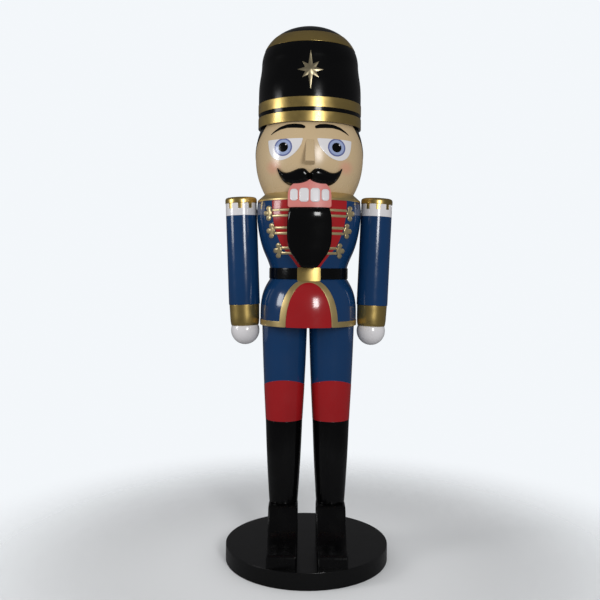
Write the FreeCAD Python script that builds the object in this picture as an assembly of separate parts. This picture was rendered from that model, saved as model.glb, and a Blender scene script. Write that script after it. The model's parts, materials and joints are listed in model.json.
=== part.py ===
"""A life-size soldier nutcracker in turned and lacquered wood, in millimetres.

The figure stands on a round plinth with its face towards -Y, so that its own right arm is at -X.
The origin is the centre of the plinth's underside, and +Z runs up through the hat.
Three things move: the jaw lever on its pin through the chest, and each arm on its shoulder bolt.
Every node is one kind of piece, and a node with several solids is a set of the same piece.
"""

import FreeCAD, Part

import math
import os

V = FreeCAD.Vector
X_AXIS = V(1, 0, 0)
Y_AXIS = V(0, 1, 0)
Z_AXIS = V(0, 0, 1)
SIDES = {"left": 1, "right": -1}

# ---- driving dimensions ----
HEIGHT = 1829.0
PLINTH_RADIUS = 278.0
PLINTH_TOP = 56.0

LEG_X = 81.0
ANKLE_Z = 194.0
ANKLE_RADIUS = 49.0
BOOT_TOP_Z = 478.0
KNEE_RADIUS = 63.5
HEM_Z = 805.0
THIGH_RADIUS = 78.0

WAIST_Z = 981.0
WAIST_RADIUS = 131.5
WAIST_BORE = 108.0
BELT_Z = (962.5, 1000.0)
BELT_RADIUS = 136.0
BUCKLE_WIDTH = 77.0
BUCKLE_Z = (957.5, 1002.5)
BUCKLE_RADIUS = 140.0

SHOULDER_Z = 1223.5
COLLAR_LIP_Z = 1230.0
NECK_Z = 1252.0
NECK_RADIUS = 152.5
BOARD_RADIUS = 137.7

HEAD_CENTRE_Z = 1377.0
HEAD_RADIUS = 185.5
HEAD_HALF_HEIGHT = 222.0
HEAD_TOP_Z = 1500.0
HEAD_WALL = 24.0

HAT_Z = 1477.0
HAT_RADIUS = 176.5
HAT_SHOULDER_RADIUS = 174.3
HAT_WALL = 7.0
HAT_STRAIGHT_TOP = 1570.0
DOME_Z = 1690.0
DOME_RADIUS = 166.5
DOME_POWER = 0.95
HAT_BAND_Z = (1477.0, 1524.0)
HAT_BAND_HEIGHT = 34.0

ARM_RADIUS = 53.5
ARM_CORE_RADIUS = 51.8
ARM_LEAN = 2.3
ARM_AXIS_Z = 1195.0
ARM_X = 234.3
ARM_TOP = 47.0
ARM_BAND = (-16.5, 26.0)
ARM_CRENEL_FLOOR = 7.5
ARM_SLEEVE_END = -322.0
ARM_CUFF_END = -394.0
HAND_RADIUS = 49.0
HAND_CENTRE = -412.0
CRENELS = 9
CRENEL_HALF_WIDTH = 6.9

PIVOT = V(0, -10, 1100)
PIN_RADIUS = 8.0
LEVER_HALF_WIDTH = 33.0
MOUTH_Z = 1197.6
JAW_TOP_Z = 1196.0
MOUTH_HALF_WIDTH = 70.8

ROD_RADIUS = 6.0
ROD_HOLE = 6.5
DOWEL_RADIUS = 5.0
SCREW_RADIUS = 3.0
SPINE_XY = (58.0, 75.0)

GLUE = 0.1  # gap left at a glued curved seat
TRIM = 1.5  # how far gold trim stands proud
PANEL = 1.2  # how far an inset colour panel stands proud


# ---- shared shape makers ----
def line(a, b):
    return Part.LineSegment(a, b).toShape()


def smooth(points):
    """One smooth curve through (radius, height) points in the XZ plane."""
    curve = Part.BSplineCurve()
    curve.interpolate([V(x, 0, z) for x, z in points])
    return curve.toShape()


def outline(points):
    """A closed wire of straight sides in the XZ plane."""
    corners = [V(x, 0, z) for x, z in points]
    return Part.makePolygon(corners + corners[:1])


def mirrored_outline(right_side):
    """A closed XZ wire whose right side is one smooth curve, from the top down."""
    left_side = [(-x, z) for x, z in right_side]
    top = line(V(*xz(left_side[0])), V(*xz(right_side[0])))
    bottom = line(V(*xz(left_side[-1])), V(*xz(right_side[-1])))
    return Part.Wire(Part.__sortEdges__([top, smooth(right_side), bottom, smooth(left_side)]))


def xz(point):
    return (point[0], 0, point[1])


def turned(edges):
    """The solid that a closed set of XZ edges sweeps round the Z axis."""
    face = Part.Face(Part.Wire(Part.__sortEdges__(edges)))
    return face.revolve(V(0, 0, 0), Z_AXIS, 360)


def turned_polygon(points):
    corners = [V(x, 0, z) for x, z in points]
    return turned([line(a, b) for a, b in zip(corners, corners[1:] + corners[:1])])


def turned_core(curve_points):
    """A solid of revolution that reaches the axis, under a smooth (radius, height) curve."""
    low, high = curve_points[0], curve_points[-1]
    edges = [smooth(curve_points), line(V(0, 0, low[1]), V(0, 0, high[1]))]
    edges.append(line(V(0, 0, low[1]), V(low[0], 0, low[1])))
    if high[0] > 0:
        edges.append(line(V(high[0], 0, high[1]), V(0, 0, high[1])))
    return turned(edges)


def skin(curve_points, inner, outer):
    """A thin turned shell that follows a smooth curve, from inner to outer beyond it."""
    near = [(r + inner, z) for r, z in curve_points]
    far = [(r + outer, z) for r, z in curve_points]
    edges = [smooth(near), smooth(far)]
    edges.append(line(V(*xz(near[0])), V(*xz(far[0]))))
    edges.append(line(V(*xz(near[-1])), V(*xz(far[-1]))))
    return turned(edges)


def front_prism(wire, y_from=-320.0, y_to=0.0):
    """A wire of the XZ plane, made into a solid that runs from y_from to y_to."""
    moved = wire.copy()
    moved.translate(V(0, y_from, 0))
    return Part.Face(moved).extrude(V(0, y_to - y_from, 0))


def side_prism(points, x_from, x_to):
    """A polygon of (y, z) points, made into a solid that runs from x_from to x_to."""
    corners = [V(x_from, y, z) for y, z in points]
    return Part.Face(Part.makePolygon(corners + corners[:1])).extrude(V(x_to - x_from, 0, 0))


def block(x_from, x_to, y_from, y_to, z_from, z_to):
    return Part.makeBox(x_to - x_from, y_to - y_from, z_to - z_from, V(x_from, y_from, z_from))


def post(radius, x, y, z_from, z_to):
    return Part.makeCylinder(radius, z_to - z_from, V(x, y, z_from), Z_AXIS)


def cross_rod(radius, x_from, x_to, y, z):
    return Part.makeCylinder(radius, x_to - x_from, V(x_from, y, z), X_AXIS)


def disc(radius, z_from, z_to):
    return post(radius, 0, 0, z_from, z_to)


def flip(shape):
    """The same piece on the other side of the figure."""
    return shape.mirror(V(0, 0, 0), X_AXIS)


def group(shapes):
    """Separate solids of one kind in one node."""
    return Part.makeCompound([solid for shape in shapes for solid in shape.Solids])


def hex_nut(centre, direction, across_flats=19.0, height=10.0, bore=ROD_RADIUS + 0.05):
    circumradius = across_flats / math.sqrt(3)
    corners = []
    for step in range(6):
        angle = math.radians(60 * step)
        corners.append(V(circumradius * math.cos(angle), circumradius * math.sin(angle), 0))
    nut = Part.Face(Part.makePolygon(corners + corners[:1])).extrude(V(0, 0, height))
    nut = nut.cut(Part.makeCylinder(bore, height))
    nut.Placement = FreeCAD.Placement(centre, FreeCAD.Rotation(Z_AXIS, direction))
    return nut


def washer(centre, direction, radius=12.0, height=2.5, bore=ROD_RADIUS + 0.3):
    ring = Part.makeCylinder(radius, height).cut(Part.makeCylinder(bore, height))
    ring.Placement = FreeCAD.Placement(centre, FreeCAD.Rotation(Z_AXIS, direction))
    return ring


# ---- turned outlines that several pieces share, as (radius, height) ----
TORSO_CURVE = [(133, 1000), (143.5, 1030), (154.5, 1055), (173, 1122), (179.7, 1190), (177.6, SHOULDER_Z)]
SKIRT_CURVE = [(165, HEM_Z), (165.3, 845), (163.5, 882), (151, 930), (133, BELT_Z[0])]


def head_radius(z, extra=0.0):
    """Radius at a height of the egg-shaped head, grown by extra."""
    share = (z - HEAD_CENTRE_Z) / (HEAD_HALF_HEIGHT + extra)
    return (HEAD_RADIUS + extra) * math.sqrt(1 - share * share)


def head_core(extra, z_from, z_to):
    steps = 8
    heights = [z_from + (z_to - z_from) * i / steps for i in range(steps + 1)]
    return turned_core([(head_radius(z, extra), z) for z in heights])


def hat_curve(inset=0.0):
    """The hat's outline from the top of its straight part to its crown."""
    points = [(HAT_RADIUS - inset, HAT_STRAIGHT_TOP)]
    points.append((HAT_SHOULDER_RADIUS - inset, (HAT_STRAIGHT_TOP + DOME_Z) / 2))
    steps = 9
    for step in range(steps + 1):
        angle = math.pi / 2 * step / steps
        radius = (DOME_RADIUS - inset) * max(math.cos(angle), 0.0) ** DOME_POWER
        points.append((radius, DOME_Z + (HEIGHT - inset - DOME_Z) * math.sin(angle) ** DOME_POWER))
    points[-1] = (0.0, HEIGHT - inset)
    return points


def hat_body(inset, z_from):
    edges = [smooth(hat_curve(inset))]
    foot = V(HAT_RADIUS - inset, 0, z_from)
    edges.append(line(foot, V(HAT_RADIUS - inset, 0, HAT_STRAIGHT_TOP)))
    edges.append(line(V(0, 0, z_from), foot))
    edges.append(line(V(0, 0, z_from), V(0, 0, HEIGHT - inset)))
    return turned(edges)


# ---- plinth, shoes and legs ----
def plinth():
    body = disc(PLINTH_RADIUS, 0, PLINTH_TOP)
    rims = [e for e in body.Edges if abs(e.Length - 2 * math.pi * PLINTH_RADIUS) < 1]
    body = body.makeFillet(3.5, rims)
    for side in SIDES.values():
        body = body.cut(post(ROD_HOLE, side * LEG_X, 0, 0, PLINTH_TOP))
        body = body.cut(post(20, side * LEG_X, 0, 0, 26))
    return body


SHOE_SPIGOT = (20.0, 14.0)  # radius and length of the ankle's peg
KNEE_SPIGOT = (25.7, 16.0)  # radius and length of the thigh's peg


def left_shoe():
    """A carved block: low toe, sloping instep, round heel, and a socket for the leg."""
    toe_y, toe_top, instep_y, heel_y = -248.0, 95.0, -178.0, 58.0
    half_width = 50.5
    profile = [(heel_y, PLINTH_TOP), (heel_y, 165), (50, ANKLE_Z), (-51, ANKLE_Z)]
    profile += [(-66, 178), (-108, 130), (-146, 109), (instep_y, 100), (toe_y + 12, toe_top), (toe_y, 84)]
    profile += [(toe_y, PLINTH_TOP)]
    body = side_prism(profile, LEG_X - half_width, LEG_X + half_width)
    plan = block(LEG_X - half_width, LEG_X + half_width, toe_y, heel_y, PLINTH_TOP, ANKLE_Z)
    heels = [e for e in plan.Edges if is_upright(e) and e.Vertexes[0].Y > 0]
    plan = plan.makeFillet(40, heels)
    toes = [e for e in plan.Edges if is_upright(e) and abs(e.Vertexes[0].Y - toe_y) < 1]
    plan = plan.makeFillet(13, toes)
    body = body.common(plan)
    along = [e for e in body.Edges if runs_along_shoe(e, half_width)]
    body = body.makeFillet(4.5, along)
    body = body.cut(post(ROD_HOLE, LEG_X, 0, PLINTH_TOP, ANKLE_Z))
    return body.cut(post(SHOE_SPIGOT[0] + 0.3, LEG_X, 0, ANKLE_Z - SHOE_SPIGOT[1] - 1, ANKLE_Z))


def is_upright(edge):
    a, b = edge.Vertexes[0].Point, edge.Vertexes[-1].Point
    return abs(a.x - b.x) < 0.01 and abs(a.y - b.y) < 0.01 and abs(a.z - b.z) > 1


def runs_along_shoe(edge, half_width):
    """The long upper edges of the instep and toe, on the shoe's two flat sides."""
    if len(edge.Vertexes) < 2:
        return False
    a, b = edge.Vertexes[0].Point, edge.Vertexes[-1].Point
    on_side = abs(abs(a.x - LEG_X) - half_width) < 0.01 and abs(abs(b.x - LEG_X) - half_width) < 0.01
    return on_side and abs(a.y - b.y) > 5 and min(a.z, b.z) > PLINTH_TOP + 30 and max(a.y, b.y) < 0


def leg_piece(curve, bore_radius, bore_from, bore_to, spigot):
    """A turned tube with a solid foot, and a peg that drops into the piece below."""
    piece = turned_core(curve)
    piece = piece.cut(disc(bore_radius, bore_from, bore_to))
    foot = curve[0][1]
    piece = piece.fuse(disc(spigot[0], foot - spigot[1], foot))
    piece = piece.cut(disc(ROD_HOLE, foot - spigot[1], bore_to))
    piece.translate(V(LEG_X, 0, 0))
    return piece.removeSplitter()


def left_boot_shaft():
    curve = [(ANKLE_RADIUS, ANKLE_Z), (57.6, 335), (KNEE_RADIUS, BOOT_TOP_Z)]
    return leg_piece(curve, 26, ANKLE_Z + 30, BOOT_TOP_Z, SHOE_SPIGOT)


def left_leg():
    curve = [(KNEE_RADIUS, BOOT_TOP_Z), (71.3, 625), (THIGH_RADIUS, HEM_Z)]
    return leg_piece(curve, 32, BOOT_TOP_Z + 20, HEM_Z, KNEE_SPIGOT)


# ---- hip, skirt and belt ----
HIP_BOARD_TOP = HEM_Z + 24


def hip_board():
    """The board on top of the legs that the leg rods and spine rods are fixed to."""
    board = disc(145.7, HEM_Z, HIP_BOARD_TOP)
    for side in SIDES.values():
        board = board.cut(post(ROD_HOLE, side * LEG_X, 0, HEM_Z, HIP_BOARD_TOP))
        seat = post(ROD_RADIUS + 0.05, side * SPINE_XY[0], SPINE_XY[1], HEM_Z + 5, HIP_BOARD_TOP)
        board = board.cut(seat)
    return board


def skirt():
    """The lower half of the coat: a turned bell with the waist's neck on top."""
    body = turned_core(SKIRT_CURVE).fuse(disc(WAIST_RADIUS, BELT_Z[0], WAIST_Z))
    inside = [(0, HEM_Z), (146, HEM_Z), (146, HEM_Z + 60), (130, 915)]
    inside += [(WAIST_BORE, 960), (WAIST_BORE, WAIST_Z), (0, WAIST_Z)]
    return body.cut(turned_polygon(inside)).removeSplitter()


APRON_HALF_WIDTH = 75.5
APRON_RISE = 148.0
APRON_POWER = 2.1
ARCH_HALF_WIDTH = 96.5
ARCH_RISE = 160.0
ARCH_POWER = 2.2
HEM_BAND_TOP = HEM_Z + 19


def arch_edge(half_width, rise, power, height):
    """The right half of a rounded arch that stands on the hem, from height above the hem down."""
    steps = 7
    start = math.asin((height / rise) ** (power / 2))
    points = []
    for step in range(steps + 1):
        angle = start * (1 - step / steps)
        x = half_width * math.cos(angle) ** (2 / power)
        points.append((x, HEM_Z + rise * math.sin(angle) ** (2 / power)))
    return points


def apron_wire(inset=0.0):
    """The outline of the red front below the belt, drawn in by inset."""
    rise = APRON_RISE - inset
    right = arch_edge(APRON_HALF_WIDTH - inset, rise, APRON_POWER, rise)
    right[0] = (0.0, right[0][1])
    left = [(-x, z) for x, z in right]
    hem = line(V(*xz(left[-1])), V(*xz(right[-1])))
    return Part.Wire(Part.__sortEdges__([smooth(right), hem, smooth(left)]))


def skirt_trim():
    """The gold edging: a hem band all round and an arch over the red front."""
    shell = skin(SKIRT_CURVE, GLUE, TRIM)
    edge = arch_edge(ARCH_HALF_WIDTH, ARCH_RISE, ARCH_POWER, BELT_Z[0] - 0.1 - HEM_Z)
    arch = shell.common(front_prism(mirrored_outline(edge)))
    hem = shell.common(disc(220, HEM_Z, HEM_BAND_TOP))
    return hem.fuse(arch).cut(front_prism(apron_wire())).removeSplitter()


def apron_panel():
    return skin(SKIRT_CURVE, GLUE, PANEL).common(front_prism(apron_wire(0.15)))


def waist_board():
    """A board half in the skirt and half in the torso, which keeps the two in line."""
    low, high = WAIST_Z - 12, WAIST_Z + 12
    board = disc(WAIST_BORE - 0.2, low, high)
    for side in SIDES.values():
        board = board.cut(post(ROD_HOLE, side * SPINE_XY[0], SPINE_XY[1], low, high))
    return board


def belt():
    ring = disc(BELT_RADIUS, *BELT_Z)
    rims = [e for e in ring.Edges if abs(e.Length - 2 * math.pi * BELT_RADIUS) < 1]
    return ring.makeFillet(2.5, rims).cut(disc(WAIST_RADIUS + GLUE, *BELT_Z))


def buckle():
    ring = disc(BUCKLE_RADIUS, *BUCKLE_Z).cut(disc(BELT_RADIUS + GLUE, *BUCKLE_Z))
    half = BUCKLE_WIDTH / 2
    plate = ring.common(block(-half, half, -200, 0, *BUCKLE_Z)).cut(skin(SKIRT_CURVE, -20, TRIM + GLUE))
    corners = [e for e in plate.Edges if abs(e.Vertexes[0].Z - e.Vertexes[-1].Z) < 0.01]
    corners = [e for e in corners if abs(abs(e.CenterOfMass.x) - half) < 0.5]
    return plate.makeFillet(3, corners)


# ---- torso, collar and coat front ----
MOUTH_BACK_Y = -128.0
MOUTH_SHAPE = [(MOUTH_HALF_WIDTH, 1238), (65, 1262), (47.3, 1280), (19.7, 1288)]
FRONT_SLOT = (1092.0, MOUTH_Z)
REAR_SLOT = (1074.0, 1200.0)
SLOT_HALF_WIDTH = 38.0
BUSH_FLANGE_RADIUS = 16.5
BUSH_FLANGE_X = (175.0, 178.4)


def torso():
    """The chest: a turned shell with slots front and back for the jaw lever."""
    body = turned_core(TORSO_CURVE).fuse(disc(WAIST_RADIUS, WAIST_Z, TORSO_CURVE[0][1]))
    inside = [(0, WAIST_Z), (WAIST_BORE, WAIST_Z), (WAIST_BORE, 1000), (128, 1055), (147, 1125)]
    inside += [(154, 1190), (152, SHOULDER_Z), (0, SHOULDER_Z)]
    body = body.cut(turned_polygon(inside))
    body = body.cut(block(-SLOT_HALF_WIDTH, SLOT_HALF_WIDTH, -220, 0, *FRONT_SLOT))
    body = body.cut(block(-SLOT_HALF_WIDTH, SLOT_HALF_WIDTH, 0, 220, *REAR_SLOT))
    body = body.cut(mouth_notch())
    body = body.cut(cross_rod(PIN_RADIUS + 0.1, -200, 200, PIVOT.y, PIVOT.z))
    for side in SIDES.values():
        body = body.cut(side_rod(side, 10 + GLUE, 100, 200))
        body = body.cut(side_rod(side, 22, 100, 153.5))
        body = body.cut(side_rod(side, BUSH_FLANGE_RADIUS + 0.5, BUSH_FLANGE_X[0] - GLUE, 200))
    return body.removeSplitter()


def side_rod(side, radius, x_from, x_to):
    """A cylinder on one shoulder bolt's line, from x_from to x_to out from the middle."""
    if side < 0:
        x_from, x_to = -x_to, -x_from
    return cross_rod(radius, x_from, x_to, 0, ARM_AXIS_Z)


def mouth_notch():
    """The space that the mouth block takes up in the pieces behind it."""
    return front_prism(mouth_wire(0.3), -240, MOUTH_BACK_Y + 0.3)


def collar():
    """The gold edge of the shoulders: an upright lip, then a slope in to the neck."""
    inner, lip_radius = BOARD_RADIUS + 0.3, TORSO_CURVE[-1][0]
    profile = [(inner, SHOULDER_Z), (lip_radius, SHOULDER_Z), (lip_radius - 0.3, COLLAR_LIP_Z)]
    profile += [(NECK_RADIUS, NECK_Z), (inner, NECK_Z)]
    return turned_polygon(profile).cut(mouth_notch())


def neck_board():
    board = disc(BOARD_RADIUS, SHOULDER_Z, NECK_Z).cut(mouth_notch())
    for side in SIDES.values():
        board = board.cut(post(ROD_HOLE, side * SPINE_XY[0], SPINE_XY[1], SHOULDER_Z, NECK_Z))
    return board


LAPEL_EDGE = [(123.5, SHOULDER_Z), (121.5, 1185), (116, 1145), (104, 1104), (88, 1070)]
LAPEL_EDGE += [(61, 1036), (35, 1000.3)]


def front_panel():
    """The red front of the coat, open where the jaw passes through the chest."""
    panel = skin(TORSO_CURVE, GLUE, PANEL).common(front_prism(mirrored_outline(LAPEL_EDGE)))
    panel = panel.cut(block(-SLOT_HALF_WIDTH, SLOT_HALF_WIDTH, -220, 0, *FRONT_SLOT))
    return panel.cut(mouth_notch())


# Each row of coat braid: heights of its two bars, where they start and end, and the trefoil's place.
BRAID_ROWS = [
    {"bars": (1190, 1171.5), "x": (58, 122), "trefoil": (135.5, 1181)},
    {"bars": (1132, 1114), "x": (58, 113), "trefoil": (126, 1123)},
    {"bars": (1066, 1049), "x": (52, 90), "trefoil": (102, 1057.5)},
]
BAR_HEIGHT = 8.0


def braid_bars():
    shell = skin(TORSO_CURVE, PANEL + GLUE, PANEL + TRIM)
    bars = []
    for row in BRAID_ROWS:
        for z in row["bars"]:
            low, high = z - BAR_HEIGHT / 2, z + BAR_HEIGHT / 2
            bars.append(shell.common(block(row["x"][0], row["x"][1], -220, 0, low, high)))
    return group(bars + [flip(bar) for bar in bars])


def trefoil_prism(x, z):
    """A three-lobed boss seen from the front: lobes up, down and outwards."""
    lobe, reach_up, reach_out = 8.5, 16.5, 8.5
    parts = [(x, z + reach_up), (x, z), (x, z - reach_up), (x + reach_out, z), (x - 4, z)]
    shape = None
    for px, pz in parts:
        cylinder = Part.makeCylinder(lobe, 300, V(px, -300, pz), Y_AXIS)
        shape = cylinder if shape is None else shape.fuse(cylinder)
    return shape.removeSplitter()


def braid_trefoils():
    shell = skin(TORSO_CURVE, GLUE, PANEL + TRIM + 1.2)
    bars = braid_bars()
    bosses = [shell.common(trefoil_prism(*row["trefoil"])) for row in BRAID_ROWS]
    bosses += [flip(boss) for boss in bosses]
    bosses = [boss.cut(bars).cut(front_panel()) for boss in bosses]
    return group(bosses)


# ---- jaw lever ----
def beard_back_y(z):
    """The flat back of the beard, which leans from the mouth in to the belt."""
    top, tip = (-185.0, JAW_TOP_Z), (-170.0, 1001.5)
    return top[0] + (tip[0] - top[0]) * (z - top[1]) / (tip[1] - top[1])


BEARD_EDGE = [(66, JAW_TOP_Z), (71.5, 1155), (73, 1110), (64, 1059), (48, 1033), (34, 1014), (24, 1001.5)]
BEARD_SCREWS = [(-20, 1154), (20, 1154), (-20, 1182), (20, 1182)]
SCREW_Y = (-194.0, -149.0)


def beard():
    """A gently domed shield that hangs from the jaw in front of the chest."""
    body = front_prism(mirrored_outline(BEARD_EDGE), -230, -150)
    tip_z = BEARD_EDGE[-1][1]
    side = [(beard_back_y(JAW_TOP_Z), JAW_TOP_Z), (-200, JAW_TOP_Z), (-205.5, 1193), (-207.5, 1186)]
    side += [(-205, 1150), (-200.5, 1110), (-192.5, 1050), (-181, tip_z), (beard_back_y(tip_z), tip_z)]
    body = body.common(side_prism(side, -90, 90))
    body = body.common(Part.makeCylinder(150, 240, V(0, -57, 980), Z_AXIS))
    for x, z in BEARD_SCREWS:
        body = body.cut(Part.makeCylinder(SCREW_RADIUS + 0.05, 30, V(x, SCREW_Y[0] - 0.5, z), Y_AXIS))
    return body


JAW_BACK_Y = -95.0
JAW_BLOCK_FLOOR = 1140.0


def jaw_block():
    """The lower jaw's bite block, between the lever and the beard."""
    front_top, front_low = beard_back_y(JAW_TOP_Z), beard_back_y(JAW_BLOCK_FLOOR)
    profile = [(front_top, JAW_TOP_Z), (JAW_BACK_Y, JAW_TOP_Z)]
    profile += [(JAW_BACK_Y, JAW_BLOCK_FLOOR), (front_low, JAW_BLOCK_FLOOR)]
    body = side_prism(profile, -36, 36)
    for x, z in BEARD_SCREWS:
        body = body.cut(Part.makeCylinder(SCREW_RADIUS + 0.05, SCREW_Y[1] + 187, V(x, -187, z), Y_AXIS))
    return body


def beard_screws():
    """Dowel screws that hold the beard to the bite block, blind in both."""
    length = SCREW_Y[1] - SCREW_Y[0]
    starts = [V(x, SCREW_Y[0], z) for x, z in BEARD_SCREWS]
    return group([Part.makeCylinder(SCREW_RADIUS, length, start, Y_AXIS) for start in starts])


TAIL_INNER_Y = 184.0
TAIL_END_Z = 835.0


def jaw_lever():
    """One board on edge: a front arm, the boss on the pin, a rear arm and the long tail."""
    profile = [(JAW_BACK_Y, JAW_TOP_Z), (JAW_BACK_Y, JAW_BLOCK_FLOOR), (-40, 1078), (-5, 1062), (30, 1062)]
    profile += [(110, 1092), (160, 1104), (TAIL_INNER_Y - 6, 1100), (TAIL_INNER_Y, 1082)]
    profile += [(TAIL_INNER_Y, 900), (TAIL_INNER_Y + 5, TAIL_END_Z), (TAIL_INNER_Y + 34, TAIL_END_Z)]
    profile += [(TAIL_INNER_Y + 36, 900), (TAIL_INNER_Y + 42, 1110), (TAIL_INNER_Y + 34, 1140)]
    profile += [(TAIL_INNER_Y + 12, 1156), (120, 1158), (20, 1162), (-50, 1184)]
    body = side_prism(profile, -LEVER_HALF_WIDTH, LEVER_HALF_WIDTH)
    face = [(LEVER_HALF_WIDTH, JAW_TOP_Z + 5), (LEVER_HALF_WIDTH, 1120), (26, 1000), (26, 930), (31, 880)]
    face += [(31, 850), (22, TAIL_END_Z)]
    body = body.common(front_prism(mirrored_outline(face), -240, 260))
    return body.cut(cross_rod(PIN_RADIUS + 0.06, -40, 40, PIVOT.y, PIVOT.z))


def pivot_pin():
    """The steel pin, through both sides of the chest and cut flush with them."""
    return cross_rod(PIN_RADIUS, -200, 200, PIVOT.y, PIVOT.z).common(turned_core(TORSO_CURVE))


def pivot_spacers():
    """Tubes on the pin that keep the lever in the middle of its slots."""
    tubes = []
    for start in (LEVER_HALF_WIDTH + 0.6, -134):
        tube = cross_rod(13, start, start + 134 - LEVER_HALF_WIDTH - 0.6, PIVOT.y, PIVOT.z)
        tubes.append(tube.cut(cross_rod(PIN_RADIUS + 0.2, start, start + 134, PIVOT.y, PIVOT.z)))
    return group(tubes)


# ---- head and face ----
def mouth_wire(extra=0.0):
    """The front outline of the mouth block, grown by extra."""
    side = [(x + extra, z + extra * 0.7) for x, z in MOUTH_SHAPE]
    left = [(-x, z) for x, z in side]
    foot = (MOUTH_HALF_WIDTH + extra, MOUTH_Z - extra)
    edges = [smooth(side), smooth(left)]
    edges.append(line(V(*xz(side[0])), V(foot[0], 0, foot[1])))
    edges.append(line(V(*xz(left[0])), V(-foot[0], 0, foot[1])))
    edges.append(line(V(foot[0], 0, foot[1]), V(-foot[0], 0, foot[1])))
    edges.append(line(V(*xz(side[-1])), V(*xz(left[-1]))))
    return Part.Wire(Part.__sortEdges__(edges))


def mouth_front(extra=0.0):
    """A tall cone whose side is the curved, slightly leaning front of the mouth."""
    return Part.makeCone(190 + extra, 176 + extra, 92, V(0, -8, 1197), Z_AXIS)


def mouth_block():
    return front_prism(mouth_wire(), -240, MOUTH_BACK_Y).common(mouth_front())


# Each tooth of the right half: middle, half width, and heights of its bottom and top.
TEETH = [(18.0, 15.0, 1215.0, 1260.0), (51.5, 12.0, 1219.5, 1257.5)]


def teeth():
    shell = mouth_front(3.2).cut(mouth_front(GLUE))
    plates = []
    for middle, half, low, high in TEETH:
        tooth = block(middle - half, middle + half, -240, -150, low, high)
        uprights = [e for e in tooth.Edges if abs(e.Vertexes[0].Y - e.Vertexes[-1].Y) > 1]
        plates.append(tooth.makeFillet(8.5, uprights).common(shell))
    return group(plates + [flip(plate) for plate in plates])


def head():
    body = head_core(0, NECK_Z, HEAD_TOP_Z)
    body = body.cut(head_core(-HEAD_WALL, NECK_Z - 1, HEAD_TOP_Z + 1))
    body = body.cut(disc(140, HEAD_TOP_Z - 20, HEAD_TOP_Z))
    body = body.cut(mouth_notch())
    for x, y in hat_dowel_places():
        body = body.cut(post(DOWEL_RADIUS + 0.1, x, y, HEAD_TOP_Z - 20, HEAD_TOP_Z))
    return body


def head_board():
    """A disc let into the top of the head, under the hat."""
    return disc(139.8, HEAD_TOP_Z - 20, HEAD_TOP_Z)


def nose():
    """A plain wedge with a flat underside, glued to the face."""
    bridge_z, tip_z, reach = 1418.0, 1337.5, 46.0
    top_y, low_y = -head_radius(bridge_z) + 3, -head_radius(tip_z)
    profile = [(top_y, bridge_z), (low_y - reach, tip_z + 4), (low_y - reach + 4, tip_z), (-150, tip_z - 6)]
    profile += [(-150, bridge_z)]
    body = side_prism(profile, -16, 16)
    face = outline([(-13.5, bridge_z), (13.5, bridge_z), (16, tip_z - 6), (-16, tip_z - 6)])
    body = body.common(front_prism(face))
    return body.cut(head_core(GLUE, 1260, 1490))


MOUSTACHE_TOP = [(0, 1309), (14, 1318), (29, 1323), (52, 1318), (80, 1311), (97, 1316), (111, 1332)]
MOUSTACHE_LOW = [(0, 1283.5), (20, 1275), (46, 1269), (78, 1277), (98, 1298), (111, 1332)]


def moustache():
    half = Part.Wire([smooth(MOUSTACHE_TOP), smooth(list(reversed(MOUSTACHE_LOW)))] + [
        line(V(0, 0, MOUSTACHE_LOW[0][1]), V(0, 0, MOUSTACHE_TOP[0][1]))])
    wing = front_prism(half, -260, 0)
    body = head_core(24, 1262, 1345).cut(head_core(GLUE, 1255, 1350))
    body = body.common(wing.fuse(flip(wing)))
    return body.cut(mouth_block()).removeSplitter()


EYE_EDGE = [(22.5, 1420), (32, 1396), (53, 1368), (82, 1354), (112, 1358)]
EYE_EDGE += [(128, 1378), (133, 1402), (131, 1420)]


def eyes():
    """Two half-moon inlays: the flat upper lid is a straight line."""
    lid = line(V(*xz(EYE_EDGE[0])), V(*xz(EYE_EDGE[-1])))
    wire = Part.Wire(Part.__sortEdges__([lid, smooth(EYE_EDGE)]))
    shell = head_core(0.9, 1340, 1440).cut(head_core(GLUE, 1335, 1445))
    inlay = shell.common(front_prism(wire))
    return group([inlay, flip(inlay)])


def hair():
    """A carved cap of hair that covers the back of the head down to the nape."""
    shell = head_core(1.6, NECK_Z + 12, HAT_Z - 1.5).cut(head_core(GLUE, NECK_Z, HAT_Z + 5))
    slope = [(-84, HAT_Z + 10), (-84, HAT_Z - 2), (-60, 1440), (-18, 1405), (30, 1350), (80, 1290)]
    slope += [(110, NECK_Z - 4)]
    slope += [(260, NECK_Z - 4), (260, HAT_Z + 10)]
    return shell.common(side_prism(slope, -220, 220))


# ---- hat ----
def hat():
    return hat_body(0, HAT_Z).cut(hat_body(HAT_WALL, HAT_Z - 1))


def hat_bands():
    """Two equal gold hoops round the straight part of the hat."""
    bands = []
    for z in HAT_BAND_Z:
        hoop = disc(HAT_RADIUS + 1.3, z, z + HAT_BAND_HEIGHT)
        bands.append(hoop.cut(disc(HAT_RADIUS + GLUE, z, z + HAT_BAND_HEIGHT)))
    return group(bands)


def hat_skin(inner, outer):
    """A thin shell over the hat from its straight part to its crown."""
    return hat_body(-outer, HAT_STRAIGHT_TOP - 30).cut(hat_body(-inner, HAT_STRAIGHT_TOP - 40))


def crown_band():
    return hat_skin(GLUE, 1.3).common(disc(200, 1744, 1786))


def hat_star():
    """A plain eight-pointed star, taller than it is wide."""
    centre_z, tall, wide, small, waist = 1646.0, 66.0, 43.0, 39.0, 19.0
    points = []
    for step in range(16):
        angle = math.radians(22.5 * step)
        if step % 8 == 0:
            reach = wide
        elif step % 8 == 4:
            reach = tall
        elif step % 2 == 0:
            reach = small
        else:
            reach = waist
        points.append((reach * math.cos(angle), centre_z + reach * math.sin(angle)))
    return hat_skin(GLUE, 1.8).common(front_prism(outline(points)))


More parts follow.
